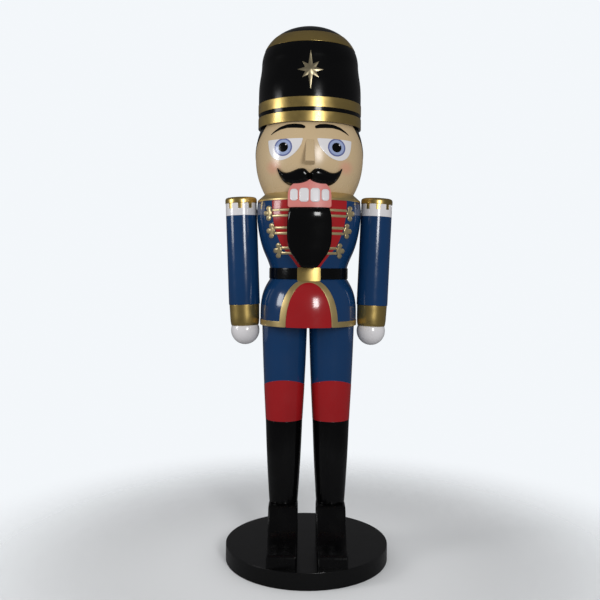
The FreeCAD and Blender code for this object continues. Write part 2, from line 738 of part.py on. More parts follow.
def hat_seat():
    """A ring board inside the hat that rests on the head."""
    board = disc(HAT_RADIUS - HAT_WALL - 0.2, HEAD_TOP_Z, HEAD_TOP_Z + 18)
    board = board.cut(disc(90, HEAD_TOP_Z, HEAD_TOP_Z + 18))
    for x, y in hat_dowel_places():
        board = board.cut(post(DOWEL_RADIUS + 0.1, x, y, HEAD_TOP_Z, HEAD_TOP_Z + 12))
    return board


def hat_dowel_places():
    angles = [math.radians(90 + 120 * i) for i in range(3)]
    return [(147 * math.cos(a), 147 * math.sin(a)) for a in angles]


def hat_dowels():
    low, high = HEAD_TOP_Z - 18, HEAD_TOP_Z + 11
    return group([post(DOWEL_RADIUS, x, y, low, high) for x, y in hat_dowel_places()])


# ---- arms, in a frame whose Z axis is the arm's and whose origin is on the bolt's line ----
def arm_sleeve():
    body = post(ARM_RADIUS, 0, 0, ARM_SLEEVE_END, ARM_BAND[0])
    body = body.fuse(post(ARM_CORE_RADIUS, 0, 0, ARM_BAND[0], ARM_CRENEL_FLOOR - 2))
    return body.cut(post(32, 0, 0, ARM_SLEEVE_END, -60)).removeSplitter()


def arm_band():
    """A white sleeve with battlements along its upper edge."""
    ring = post(ARM_RADIUS, 0, 0, *ARM_BAND).cut(post(ARM_CORE_RADIUS + GLUE, 0, 0, *ARM_BAND))
    for step in range(CRENELS):
        gap = block(30, 70, -CRENEL_HALF_WIDTH, CRENEL_HALF_WIDTH, ARM_CRENEL_FLOOR, ARM_BAND[1] + 1)
        gap.rotate(V(0, 0, 0), Z_AXIS, 360 * step / CRENELS - 90)
        ring = ring.cut(gap)
    return ring


def shoulder_cap():
    """The gold top of the arm, which shows between the battlements."""
    core = post(ARM_CORE_RADIUS, 0, 0, ARM_CRENEL_FLOOR - 2, ARM_BAND[1])
    crown = post(ARM_RADIUS + 1, 0, 0, ARM_BAND[1], ARM_TOP)
    rim = [e for e in crown.Edges if e.Vertexes[0].Z > ARM_TOP - 0.1 and e.Length > 300]
    return core.fuse(crown.makeFillet(11, rim)).removeSplitter()


CUFF_CURVE = [(51.8, ARM_SLEEVE_END), (51, -345), (50.2, -372), (49, -386), (47, ARM_CUFF_END)]


def cuff():
    """A gold turned cuff that narrows towards the hand, pegged up into the sleeve."""
    body = turned_core(CUFF_CURVE).fuse(post(31.8, 0, 0, ARM_SLEEVE_END, ARM_SLEEVE_END + 22))
    return body.cut(post(15, 0, 0, ARM_CUFF_END, ARM_SLEEVE_END + 22)).removeSplitter()


def hand():
    ball = Part.makeSphere(HAND_RADIUS, V(0, 0, HAND_CENTRE))
    ball = ball.cut(block(-60, 60, -60, 60, ARM_CUFF_END, ARM_CUFF_END + 60))
    return ball.fuse(post(14.8, 0, 0, HAND_CENTRE, ARM_CUFF_END + 34)).removeSplitter()


def placed_arm(shape, side):
    """Leans an arm piece inwards, and sets it beside its shoulder."""
    piece = shape.copy()
    piece.rotate(V(0, 0, 0), Y_AXIS, ARM_LEAN)
    piece.translate(V(ARM_X, 0, ARM_AXIS_Z))
    return piece if side > 0 else flip(piece)


BOLT_END_X = 130.0
BOLT_ROOT_X = 226.0


def arms():
    made = {}
    for name, side in SIDES.items():
        bolt = side_rod(side, ROD_RADIUS, BOLT_END_X, BOLT_ROOT_X)
        socket = side_rod(side, ROD_RADIUS + 0.05, BOLT_END_X, BOLT_ROOT_X + 1)
        made[f"{name}_arm_sleeve"] = placed_arm(arm_sleeve(), side).cut(socket)
        made[f"{name}_arm_band"] = placed_arm(arm_band(), side).cut(socket)
        made[f"{name}_shoulder_cap"] = placed_arm(shoulder_cap(), side).cut(socket)
        made[f"{name}_cuff"] = placed_arm(cuff(), side)
        made[f"{name}_hand"] = placed_arm(hand(), side)
        made[f"{name}_shoulder_bolt"] = bolt
        inwards = V(-side, 0, 0)
        nut = hex_nut(V(side * 150.5, 0, ARM_AXIS_Z), inwards)
        flange = washer(V(side * 153.1, 0, ARM_AXIS_Z), inwards, 16, 3.1, ROD_RADIUS + 0.05)
        made[f"{name}_shoulder_nut"] = nut.fuse(flange).removeSplitter()
    return made


def shoulder_bushes():
    """Flanged sleeves in the chest's sides that the shoulder bolts turn in."""
    bushes = []
    for side in SIDES.values():
        sleeve = side_rod(side, 10, 153.6, BUSH_FLANGE_X[0])
        sleeve = sleeve.fuse(side_rod(side, BUSH_FLANGE_RADIUS, *BUSH_FLANGE_X))
        bushes.append(sleeve.cut(side_rod(side, ROD_RADIUS + 0.08, 150, 190)).removeSplitter())
    return group(bushes)


# ---- the rods that clamp the figure together ----
def tie_rods():
    return group([post(ROD_RADIUS, side * LEG_X, 0, 10, 850) for side in SIDES.values()])


def spine_rods():
    low, high = HEM_Z + 6, NECK_Z + 26
    return group([post(ROD_RADIUS, side * SPINE_XY[0], SPINE_XY[1], low, high) for side in SIDES.values()])


def rod_fasteners():
    """The washers and nuts at the leg rods' two ends and the spine rods' upper ends."""
    nuts, washers = [], []
    for side in SIDES.values():
        leg, spine = (side * LEG_X, 0), (side * SPINE_XY[0], SPINE_XY[1])
        washers.append(washer(V(*leg, 26), -Z_AXIS))
        nuts.append(hex_nut(V(*leg, 23.5), -Z_AXIS))
        washers.append(washer(V(*leg, HIP_BOARD_TOP), Z_AXIS))
        nuts.append(hex_nut(V(*leg, HIP_BOARD_TOP + 2.5), Z_AXIS))
        washers.append(washer(V(*spine, NECK_Z), Z_AXIS))
        nuts.append(hex_nut(V(*spine, NECK_Z + 2.5), Z_AXIS))
    return group(nuts), group(washers)


def build():
    nodes = {"plinth": plinth(), "hip_board": hip_board(), "skirt": skirt(), "skirt_trim": skirt_trim()}
    for name, make in (("shoe", left_shoe), ("boot_shaft", left_boot_shaft), ("leg", left_leg)):
        piece = make()
        nodes[f"left_{name}"] = piece
        nodes[f"right_{name}"] = flip(piece)
    nodes["apron_panel"] = apron_panel()
    nodes["waist_board"] = waist_board()
    nodes["belt"] = belt()
    nodes["buckle"] = buckle()
    nodes["torso"] = torso()
    nodes["collar"] = collar()
    nodes["neck_board"] = neck_board()
    nodes["front_panel"] = front_panel()
    nodes["braid_bars"] = braid_bars()
    nodes["braid_trefoils"] = braid_trefoils()
    nodes["beard"] = beard()
    nodes["jaw_block"] = jaw_block()
    nodes["beard_screws"] = beard_screws()
    nodes["jaw_lever"] = jaw_lever()
    nodes["pivot_pin"] = pivot_pin()
    nodes["pivot_spacers"] = pivot_spacers()
    nodes["mouth_block"] = mouth_block()
    nodes["teeth"] = teeth()
    nodes["head"] = head()
    nodes["head_board"] = head_board()
    nodes["nose"] = nose()
    nodes["moustache"] = moustache()
    nodes["eyes"] = eyes()
    nodes["hair"] = hair()
    nodes["hat"] = hat()
    nodes["hat_bands"] = hat_bands()
    nodes["hat_crown_band"] = crown_band()
    nodes["hat_star"] = hat_star()
    nodes["hat_seat"] = hat_seat()
    nodes["hat_dowels"] = hat_dowels()
    nodes["shoulder_bushes"] = shoulder_bushes()
    nodes["tie_rods"] = tie_rods()
    nodes["spine_rods"] = spine_rods()
    nodes["rod_nuts"], nodes["rod_washers"] = rod_fasteners()
    nodes.update(arms())
    return nodes


def main():
    os.makedirs("parts", exist_ok=True)
    for name, shape in build().items():
        solids = shape.Solids
        if not solids or not shape.isValid():
            raise SystemExit(f"{name}: {len(solids)} solids, valid {shape.isValid()}")
        shape.exportStep(f"parts/{name}.step")
        volume = sum(s.Volume for s in solids) / 1e6
        print(f"{name:24s} {len(solids):2d} solids {volume:8.4f} litres")


main()
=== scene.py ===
"""The looks of a life-size soldier nutcracker, in metres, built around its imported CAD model.

The face looks along -Y. Every painted piece is its own mesh and rides on the CAD body whose node
it stands for. Most are turned round an axis or raised from the surface under them. The shoes, the
nose and the lever board are lofted.
"""

import json
import math

import bpy
import numpy as np
from mathutils import Matrix, Vector


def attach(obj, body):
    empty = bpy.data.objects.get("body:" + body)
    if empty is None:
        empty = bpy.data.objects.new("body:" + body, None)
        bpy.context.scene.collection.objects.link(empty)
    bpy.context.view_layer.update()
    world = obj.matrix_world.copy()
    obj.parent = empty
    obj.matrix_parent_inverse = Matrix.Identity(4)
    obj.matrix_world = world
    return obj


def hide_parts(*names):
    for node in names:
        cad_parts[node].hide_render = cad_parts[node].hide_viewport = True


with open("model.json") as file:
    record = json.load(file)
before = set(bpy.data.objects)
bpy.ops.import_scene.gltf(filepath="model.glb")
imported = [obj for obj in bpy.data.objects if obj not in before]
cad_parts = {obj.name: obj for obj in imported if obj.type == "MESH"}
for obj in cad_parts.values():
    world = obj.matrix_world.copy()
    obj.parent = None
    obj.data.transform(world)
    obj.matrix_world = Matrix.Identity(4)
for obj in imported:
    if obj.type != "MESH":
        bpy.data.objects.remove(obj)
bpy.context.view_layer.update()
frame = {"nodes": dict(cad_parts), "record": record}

SIDES = {"left": 1, "right": -1}
TURN_STEPS = 160

# ---- driving dimensions, from the CAD model ----
PLINTH_RADIUS = 0.278
PLINTH_TOP = 0.056
LEG_X = 0.081
ANKLE_Z = 0.194
BOOT_TOP_Z = 0.478
HEM_Z = 0.805
HEM_BAND = 0.019
SKIRT_NECK_TOP = 0.981
BELT_Z = (0.9625, 1.000)
BELT_RADIUS = 0.136
WAIST_RADIUS = 0.1315
BUCKLE_SIZE = (0.077, 0.045)
BUCKLE_Z = 0.980
BUCKLE_RADIUS = 0.140
SHOULDER_Z = 1.2235
COLLAR_LIP_Z = 1.230
NECK_Z = 1.252
HAT_Z = 1.477
HAT_RADIUS = 0.1765
HAT_SHOULDER_RADIUS = 0.1743
HAT_STRAIGHT_TOP = 1.570
HAT_BANDS = ((1.477, 1.511), (1.524, 1.558))
CROWN_BAND = (1.744, 1.786)
DOME_Z = 1.690
DOME_RADIUS = 0.1665
DOME_POWER = 0.95
HEIGHT = 1.829
HEAD_CENTRE_Z = 1.377
HEAD_RADIUS = 0.1855
HEAD_HALF_HEIGHT = 0.222
ARM_RADIUS = 0.0535
ARM_LEAN = math.radians(2.3)
ARM_X = 0.2343
ARM_AXIS_Z = 1.195
ARM_BAND = (-0.0165, 0.026)  # heights along an arm start at its shoulder bolt
CAP_FOOT = 0.0053
CAP_TOP = 0.047
SLEEVE_TOP = 0.0055
SLEEVE_END = -0.322
CUFF_END = -0.394
HAND_RADIUS = 0.049
HAND_Z = -0.412
CRENEL_FLOOR = 0.0075
CRENELS = 9
CRENEL_HALF_WIDTH = 0.0069
BAND_DEPTH = 0.0012
JAW_TOP_Z = 1.196
MOUTH_Z = 1.1976
MOUTH_HALF_WIDTH = 0.0708
MOUTH_RADIUS = 0.190
MOUTH_RADIUS_Z = 1.197  # the height at which the mouth block has that radius
MOUTH_LEAN = 0.014 / 0.092  # how much nearer the axis its front gets per metre up
PAINT_GAP = 0.0004  # from a painted patch to the edge it stops at


# ---- curves and turned surfaces ----
def spline(points, per_span=10):
    """Points along the smooth curve through the given points."""
    knots = np.array(points, float)
    gaps = np.linalg.norm(np.diff(knots, axis=0), axis=1)
    count = len(knots)
    system, right = np.eye(count), np.zeros_like(knots)
    for i in range(1, count - 1):
        system[i, i - 1 : i + 2] = gaps[i - 1], 2 * (gaps[i - 1] + gaps[i]), gaps[i]
        right[i] = 6 * ((knots[i + 1] - knots[i]) / gaps[i] - (knots[i] - knots[i - 1]) / gaps[i - 1])
    bend = np.linalg.solve(system, right)
    made = []
    for i in range(count - 1):
        for t in np.arange(per_span) / per_span:
            a, b, gap = 1 - t, t, gaps[i]
            curved = (a**3 - a) * bend[i] + (b**3 - b) * bend[i + 1]
            made.append(tuple(a * knots[i] + b * knots[i + 1] + curved * gap * gap / 6))
    return made + [tuple(knots[-1])]


def lookup(points):
    """A function that gives a curve's first coordinate at its second."""
    table = np.array(sorted(points, key=lambda p: p[1]))
    return lambda value: float(np.interp(value, table[:, 1], table[:, 0]))


def soften(points, steps=4):
    """An outline of (radius, height, rounding) points, as (radius, height) with its corners rounded."""
    made = []
    most = 0.49  # of a side, so that two roundings never meet
    for i, point in enumerate(points):
        here, rounding = Vector(point[:2]), point[2] if len(point) > 2 else 0
        if not rounding:
            made.append(tuple(here))
            continue
        before, after = Vector(points[i - 1][:2]), Vector(points[(i + 1) % len(points)][:2])
        start = here + (before - here).normalized() * min(rounding, (before - here).length * most)
        end = here + (after - here).normalized() * min(rounding, (after - here).length * most)
        for step in range(steps + 1):
            t = step / steps
            made.append(tuple(start * (1 - t) ** 2 + here * 2 * t * (1 - t) + end * t * t))
    return made


TORSO = spline([
    (0.133, 1.000), (0.1435, 1.030), (0.1545, 1.055), (0.173, 1.122), (0.1797, 1.190), (0.1776, SHOULDER_Z)])
SKIRT = spline([(0.165, HEM_Z), (0.1653, 0.845), (0.1635, 0.882), (0.151, 0.930), (0.133, BELT_Z[0])])
BOOT = spline([(0.049, ANKLE_Z), (0.0576, 0.335), (0.0635, BOOT_TOP_Z)])
LEG = spline([(0.0635, BOOT_TOP_Z), (0.0713, 0.625), (0.078, HEM_Z)])
torso_radius = lookup(TORSO)
skirt_radius = lookup(SKIRT)
leg_radius = lookup(LEG)


def head_radius(z):
    share = (z - HEAD_CENTRE_Z) / HEAD_HALF_HEIGHT
    return HEAD_RADIUS * math.sqrt(max(1 - share * share, 0))


def mouth_radius(z):
    return MOUTH_RADIUS - MOUTH_LEAN * (z - MOUTH_RADIUS_Z)


def hat_outline(inset=0.0):
    """(radius, height) points from the top of the hat's straight side to its crown."""
    shoulder_z = (HAT_STRAIGHT_TOP + DOME_Z) / 2
    points = [(HAT_RADIUS - inset, HAT_STRAIGHT_TOP), (HAT_SHOULDER_RADIUS - inset, shoulder_z)]
    dome = []
    steps = 24
    for step in range(steps + 1):
        angle = math.pi / 2 * step / steps
        across = max(math.cos(angle), 0) ** DOME_POWER if step < steps else 0.0
        up = math.sin(angle) ** DOME_POWER
        dome.append(((DOME_RADIUS - inset) * across, DOME_Z + (HEIGHT - inset - DOME_Z) * up))
    side = spline(points + dome[:2], 8)
    return side + dome[2:]


hat_radius_above = lookup(hat_outline())


def hat_radius(z):
    return HAT_RADIUS if z < HAT_STRAIGHT_TOP else hat_radius_above(z)


# ---- meshes ----
def make(name, vertices, faces, material, body, slot, nodes=(), matrix=None, edge_angle=35):
    """Makes a piece, smooth except at sharp edges, that rides on a body and stands for CAD nodes."""
    mesh = bpy.data.meshes.new(name)
    mesh.from_pydata([tuple(v) for v in vertices], [], faces)
    if matrix is not None:
        mesh.transform(matrix)
        if matrix.determinant() < 0:
            mesh.flip_normals()
    mesh.update()
    mesh.polygons.foreach_set("use_smooth", [True] * len(mesh.polygons))
    mesh.set_sharp_from_angle(angle=math.radians(edge_angle))
    mesh.materials.append(material)
    piece = bpy.data.objects.new(name, mesh)
    bpy.context.scene.collection.objects.link(piece)
    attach(piece, body)
    if nodes:
        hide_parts(*nodes)
    return piece


def even_shading(piece):
    """Lets the large faces set the shading, so that flats stay flat beside rounded edges."""
    weighted = piece.modifiers.new("even_shading", "WEIGHTED_NORMAL")
    weighted.keep_sharp = True


def round_edges(piece, width, segments, angle):
    """Rounds a piece's sharp edges, as a router and sandpaper would."""
    bevel = piece.modifiers.new("round_edges", "BEVEL")
    bevel.width = width
    bevel.segments = segments
    bevel.limit_method = "ANGLE"
    bevel.angle_limit = math.radians(angle)
    bevel.harden_normals = False
    even_shading(piece)


def turned(profile, steps=TURN_STEPS, centre_x=0.0):
    """A closed (radius, height) outline, from the bottom up on its outer side, swept round Z."""
    vertices, rings = [], []
    for radius, z in profile:
        count = steps if radius > 1e-6 else 1
        rings.append((len(vertices), count))
        for k in range(count):
            angle = 2 * math.pi * k / steps
            vertices.append((centre_x + radius * math.cos(angle), radius * math.sin(angle), z))
    faces = []
    for i, (low, low_count) in enumerate(rings):
        high, high_count = rings[(i + 1) % len(rings)]
        if low_count == high_count == 1:
            continue
        for k in range(steps):
            corners = [low + k % low_count, low + (k + 1) % low_count]
            corners += [high + (k + 1) % high_count, high + k % high_count]
            faces.append(list(dict.fromkeys(corners)))
    return vertices, faces


def band_profile(radius_at, low, high, lift, bury=0.0006, rounding=0.0008, steps=6):
    """The outline of a hoop laid over a turned surface."""
    heights = [low + (high - low) * i / steps for i in range(steps + 1)]
    outer = [(radius_at(z) + lift, z) for z in heights]
    inner = [(radius_at(z) - bury, z) for z in reversed(heights)]
    outer[0] += (rounding,)
    outer[-1] += (rounding,)
    return soften(outer + inner)


def loft(rings):
    """Joins rings of equally many points, and closes both ends."""
    count = len(rings[0])
    vertices = [point for ring in rings for point in ring]
    faces = []
    for i in range(len(rings) - 1):
        for k in range(count):
            a, b = i * count + k, i * count + (k + 1) % count
            faces.append([a, b, b + count, a + count])
    faces.append(list(range(count))[::-1])
    faces.append([(len(rings) - 1) * count + k for k in range(count)])
    return vertices, faces


# ---- raised patches ----
# An outline is a function of (u, v) that gives the depth inside it, and is negative outside.
def mirrored(vertices, faces):
    """A patch, with its copy on the other side of the figure."""
    count = len(vertices)
    flipped = [[k + count for k in reversed(face)] for face in faces]
    return list(vertices) + [(-x, y, z) for x, y, z in vertices], faces + flipped


def as_distance(shape, nudge=1e-5):
    """Turns a function that is positive inside an outline into the rough distance to that outline."""

    def depth(u, v):
        value = shape(u, v)
        slope_u = (shape(u + nudge, v) - shape(u - nudge, v)) / (2 * nudge)
        slope_v = (shape(u, v + nudge) - shape(u, v - nudge)) / (2 * nudge)
        return value / max(math.hypot(slope_u, slope_v), 1e-6)

    return depth


def in_box(centre, half, rounding=0.0):
    def depth(u, v):
        du, dv = abs(u - centre[0]) - half[0] + rounding, abs(v - centre[1]) - half[1] + rounding
        return rounding - math.hypot(max(du, 0), max(dv, 0)) - min(max(du, dv), 0)

    return depth


def in_disc(centre, radius):
    return lambda u, v: radius - math.hypot(u - centre[0], v - centre[1])


def in_stroke(points):
    """A brush stroke through (u, v, radius) points."""

    def depth(u, v):
        best = -1.0
        for (au, av, ar), (bu, bv, br) in zip(points, points[1:]):
            du, dv = bu - au, bv - av
            t = max(0.0, min(1.0, ((u - au) * du + (v - av) * dv) / (du * du + dv * dv)))
            best = max(best, ar + (br - ar) * t - math.hypot(u - au - du * t, v - av - dv * t))
        return best

    return depth


def in_polygon(points):
    sides = list(zip(points, points[1:] + points[:1]))

    def depth(u, v):
        nearest, inside = 1.0, False
        for (au, av), (bu, bv) in sides:
            du, dv = bu - au, bv - av
            t = max(0.0, min(1.0, ((u - au) * du + (v - av) * dv) / (du * du + dv * dv)))
            nearest = min(nearest, math.hypot(u - au - du * t, v - av - dv * t))
            if (av > v) != (bv > v) and u < au + (v - av) * du / dv:
                inside = not inside
        return nearest if inside else -nearest

    return depth


def both_sides(depth):
    return lambda u, v: depth(abs(u), v)


def any_of(*depths):
    return lambda u, v: max(depth(u, v) for depth in depths)


def all_of(*depths):
    return lambda u, v: min(depth(u, v) for depth in depths)


def outside(depth):
    return lambda u, v: -depth(u, v)


def above(height):
    return lambda u, v: v - height


def below(height):
    return lambda u, v: height - v


def flat(height):
    return lambda depth, u, v: height


def domed(height, reach):
    """Rises from the outline in a round shoulder, and is level further in than reach."""

    def top(depth, u, v):
        share = min(max(depth, 0) / reach, 1)
        return height * math.sqrt(1 - (1 - share) ** 2)

    return top


def relief(depth, window, step, place, top, edge, bury=0.0006, wraps=False, back=None):
    """A patch raised from a surface, cut out by contouring depth over a grid.

    depth(u, v) is how far inside the outline a point is, place(u, v, h) the point at height h over
    the surface, and top(depth, u, v) the patch's height. The rim is rounded over edge, then goes
    bury below the surface, or to back(u, v) if that is given. wraps joins the window's two sides.
    """
    (u0, u1), (v0, v1) = window
    columns, rows = round((u1 - u0) / step), round((v1 - v0) / step)
    step_u, step_v = (u1 - u0) / columns, (v1 - v0) / rows
    last = columns if wraps else columns + 1
    value = {}
    for i in range(last):
        for j in range(rows + 1):
            value[i, j] = depth(u0 + i * step_u, v0 + j * step_v) - edge
    points, index = [], {}

    def vertex(key, u, v):
        if key not in index:
            index[key] = len(points)
            points.append((u, v))
        return index[key]

    faces = []
    for i in range(columns):
        for j in range(rows):
            corners = [(i, j), (i + 1, j), (i + 1, j + 1), (i, j + 1)]
            keys = [((a % columns if wraps else a), b) for a, b in corners]
            values = [value[key] for key in keys]
            if max(values) <= 0:
                continue
            face = []
            for k in range(4):
                (a, b), (c, d) = corners[k], corners[(k + 1) % 4]
                here, there = values[k], values[(k + 1) % 4]
                if here > 0:
                    face.append(vertex(keys[k], u0 + a * step_u, v0 + b * step_v))
                if (here > 0) != (there > 0):
                    t = here / (here - there)
                    key = tuple(sorted((keys[k], keys[(k + 1) % 4])))
                    across, up = a + (c - a) * t, b + (d - b) * t
                    face.append(vertex(key, u0 + across * step_u, v0 + up * step_v))
            faces.append(face)
    sides = {}
    for face in faces:
        for a, b in zip(face, face[1:] + face[:1]):
            sides[a, b] = True
    rim = [(a, b) for a, b in sides if (b, a) not in sides]
    heights = {k: top(depth(*points[k]), *points[k]) for k in range(len(points))}
    vertices = [place(u, v, heights[k]) for k, (u, v) in enumerate(points)]
    inner = {k: k for k in {k for pair in rim for k in pair}}
    outward = {k: away(depth, *points[k]) for k in inner}
    turns = [math.radians(a) for a in (30, 60, 90)] if edge > 0 else []
    for turn in turns + [None]:
        ring = {}
        for k, (du, dv) in outward.items():
            reach = edge if turn is None else edge * math.sin(turn)
            u, v = points[k][0] + du * reach, points[k][1] + dv * reach
            if turn is None:
                spot = back(u, v) if back else place(u, v, -bury)
            else:
                spot = place(u, v, heights[k] - min(edge, heights[k]) * (1 - math.cos(turn)))
            ring[k] = len(vertices)
            vertices.append(spot)
        faces += [[inner[a], ring[a], ring[b], inner[b]] for a, b in rim]
        inner = ring
    return vertices, faces


def away(depth, u, v, nudge=1e-4):
    """The direction in which a point leaves the outline soonest."""
    du = depth(u - nudge, v) - depth(u + nudge, v)
    dv = depth(u, v - nudge) - depth(u, v + nudge)
    length = max(math.hypot(du, dv), 1e-9)
    return du / length, dv / length


def in_front(radius_at):
    """Places an (x, z) point on the front of a turned surface."""

    def place(x, z, height):
        radius = radius_at(z) + height
        return x, -math.sqrt(max(radius * radius - x * x, 0)), z

    return place


def around(radius_at, unit, centre_x=0.0, start=0.0):
    """Places a point by how far round a turned surface it is, measured at radius unit."""

    def place(s, z, height):
        angle, radius = start + s / unit, radius_at(z) + height
        return centre_x + radius * math.sin(angle), -radius * math.cos(angle), z

    return place


# ---- materials ----
def feed(tree, socket, value):
    """Links an input to another node's output, or sets it to a plain value."""
    if isinstance(value, bpy.types.NodeSocket):
        tree.links.new(value, socket)
    else:
        socket.default_value = value


def add(tree, kind, settings=None, **inputs):
    """Adds a shader node, with its settings, and its inputs set or linked by name."""
    made = tree.nodes.new("ShaderNode" + kind)
    for key, value in (settings or {}).items():
        setattr(made, key, value)
    for key, value in inputs.items():
        feed(tree, made.inputs[key.replace("_", " ")], value)
    return made


def reckon(tree, kind, operation, *values):
    """Adds a maths node whose inputs are given in their own order."""
    made = add(tree, kind, {"operation": operation})
    for socket, value in zip(made.inputs, values):
        feed(tree, socket, value)
    return made


def noise(tree, place, scale, detail=2.0):
    """Cloudy values from 0 to 1, mostly near 0.5."""
    return add(tree, "TexNoise", Vector=place, Scale=scale, Detail=detail).outputs["Fac"]


def ranged(tree, value, low, high, start=0.3, end=0.7):
    """Runs from low to high as value goes from start to end."""
    made = add(tree, "MapRange", Value=value, From_Min=start, From_Max=end, To_Min=low, To_Max=high)
    return made.outputs["Result"]


def mixed(tree, share, a, b):
    """The colour that goes from a to b as share goes from 0 to 1."""
    made = add(tree, "Mix", {"data_type": "RGBA"}, Factor=share)
    sockets = [s for s in made.inputs if s.type == "RGBA"]
    for socket, value in zip(sockets, (a, b)):
        feed(tree, socket, (*value, 1) if isinstance(value, tuple) else value)
    return [s for s in made.outputs if s.type == "RGBA"][0]


def shaded(colour, factor):
    return tuple(c * factor for c in colour)


def new_tree(name):
    """A new material, and its empty shader tree."""
    material = bpy.data.materials.new(name)
    material.use_nodes = True
    material.node_tree.nodes.clear()
    return material, material.node_tree


def bumped(tree, place, layers):
    """Stacks bump layers of (scale, depth in metres, strength)."""
    normal = None
    for scale, distance, strength in layers:
        inputs = {"Height": noise(tree, place, scale), "Distance": distance, "Strength": strength}
        if normal:
            inputs["Normal"] = normal
        normal = add(tree, "Bump", **inputs).outputs["Normal"]
    return normal


def lacquer(name, colour, coat, roughness=0.14, variation=0.10, shine=0.5, paint=None):
    """Sprayed gloss paint: faint waves, orange peel, cloudy colour and hazy patches."""
    material, tree = new_tree(name)
    place = add(tree, "TexCoord").outputs["Object"]
    cloud = ranged(tree, noise(tree, place, 3.1, 4), 0, 1)
    base = mixed(tree, cloud, shaded(colour, 1 - variation), shaded(colour, 1 + variation))
    if paint:
        base = paint(tree, place, base)
    haze = ranged(tree, noise(tree, place, 17.0, 3), roughness * 0.8, roughness * 1.45)
    normal = bumped(tree, place, [(9.0, 0.004, 0.10), (520.0, 0.0004, 0.06)])
    shader = add(
        tree, "BsdfPrincipled", Base_Color=base, Roughness=haze, Normal=normal, Specular_IOR_Level=shine,
        Coat_Weight=coat, Coat_Roughness=0.04,
    )
    add(tree, "OutputMaterial", Surface=shader.outputs["BSDF"])
    return material


def blush(tree, place, base):
    """Airbrushed pink on both cheeks."""
    cheek, pink, strength = (0.119, 0.0, 1.331), (0.66, 0.20, 0.16), 0.40
    even_within, gone_at = 0.004, 0.034
    folded = reckon(tree, "VectorMath", "ABSOLUTE", place).outputs["Vector"]
    split = add(tree, "SeparateXYZ", Vector=folded)
    flat_spot = add(tree, "CombineXYZ", X=split.outputs["X"], Z=split.outputs["Z"]).outputs["Vector"]
    distance = reckon(tree, "VectorMath", "DISTANCE", flat_spot, cheek).outputs["Value"]
    near = add(tree, "MapRange", {"interpolation_type": "SMOOTHSTEP"}, Value=distance,
               From_Min=even_within, From_Max=gone_at, To_Min=strength, To_Max=0.0).outputs["Result"]
    depth = add(tree, "SeparateXYZ", Vector=place).outputs["Y"]
    front = reckon(tree, "Math", "LESS_THAN", depth, 0.0).outputs["Value"]
    share = reckon(tree, "Math", "MULTIPLY", near, front).outputs["Value"]
    return mixed(tree, share, base, pink)


def gold_paint(name, colour=(0.64, 0.462, 0.155), roughness=0.30, metallic=0.92):
    """Metallic paint: fine flakes under a thin clear coat."""
    material, tree = new_tree(name)
    place = add(tree, "TexCoord").outputs["Object"]
    cloud = ranged(tree, noise(tree, place, 6.0, 4), 0, 1)
    base = mixed(tree, cloud, shaded(colour, 0.9), shaded(colour, 1.12))
    haze = ranged(tree, noise(tree, place, 23.0, 3), roughness * 0.85, roughness * 1.25)
    normal = bumped(tree, place, [(12.0, 0.004, 0.08), (1400.0, 0.0003, 0.04)])
    shader = add(
        tree, "BsdfPrincipled", Base_Color=base, Roughness=haze, Normal=normal, Metallic=metallic,
        Coat_Weight=0.25, Coat_Roughness=0.08,
    )
    add(tree, "OutputMaterial", Surface=shader.outputs["BSDF"])
    return material


def bare_wood(name):
    """Sealed softwood with long grain along Z."""
    material, tree = new_tree(name)
    place = add(tree, "TexCoord").outputs["Object"]
    stretched = add(tree, "Mapping", Vector=place, Scale=(1.0, 1.0, 0.12)).outputs["Vector"]
    grain = add(tree, "TexWave", {"wave_type": "RINGS", "rings_direction": "Z"}, Vector=stretched,
                Scale=24.0, Distortion=5.0, Detail=3.0).outputs["Fac"]
    base = mixed(tree, grain, (0.60, 0.43, 0.25), (0.42, 0.26, 0.13))
    normal = bumped(tree, stretched, [(160.0, 0.0008, 0.25)])
    shader = add(tree, "BsdfPrincipled", Base_Color=base, Roughness=0.55, Normal=normal)
    add(tree, "OutputMaterial", Surface=shader.outputs["BSDF"])
    return material


def plated_steel(name):
    material, tree = new_tree(name)
    place = add(tree, "TexCoord").outputs["Object"]
    streaked = add(tree, "Mapping", Vector=place, Scale=(1.0, 1.0, 0.05)).outputs["Vector"]
    haze = ranged(tree, noise(tree, streaked, 700.0, 2), 0.22, 0.42)
    normal = bumped(tree, streaked, [(900.0, 0.0002, 0.15)])
    shader = add(tree, "BsdfPrincipled", Base_Color=(0.55, 0.56, 0.58, 1), Roughness=haze, Normal=normal,
                 Metallic=1.0)
    add(tree, "OutputMaterial", Surface=shader.outputs["BSDF"])
    return material


BLACK = lacquer("black_gloss", (0.0015, 0.0015, 0.0017), roughness=0.13, coat=0.0, variation=0.25, shine=0.36)
PLINTH_BLACK = lacquer("plinth_gloss", (0.0017, 0.0017, 0.0018), roughness=0.18, coat=0.0, shine=0.60)
SHOE_BLACK = lacquer("shoe_gloss", (0.0014, 0.0014, 0.0016), roughness=0.23, coat=0.0, shine=0.30)
BLUE = lacquer("blue_gloss", (0.0054, 0.034, 0.106), coat=0.38)
SLEEVE_BLUE = lacquer("sleeve_gloss", (0.0054, 0.034, 0.106), coat=0.12)
RED = lacquer("red_gloss", (0.31, 0.0095, 0.012), roughness=0.15, coat=0.25)
SKIN = lacquer("skin_gloss", (0.54, 0.40, 0.232), roughness=0.23, coat=0.0, variation=0.03, shine=0.66,
               paint=blush)
WHITE = lacquer("white_gloss", (0.68, 0.66, 0.67), roughness=0.2, coat=0.4, variation=0.03)
GUM = lacquer("gum_gloss", (0.62, 0.205, 0.180), roughness=0.24, coat=0.4, variation=0.06)
IRIS_RIM = lacquer("iris_rim_paint", (0.115, 0.135, 0.30), coat=0.3, variation=0.12)
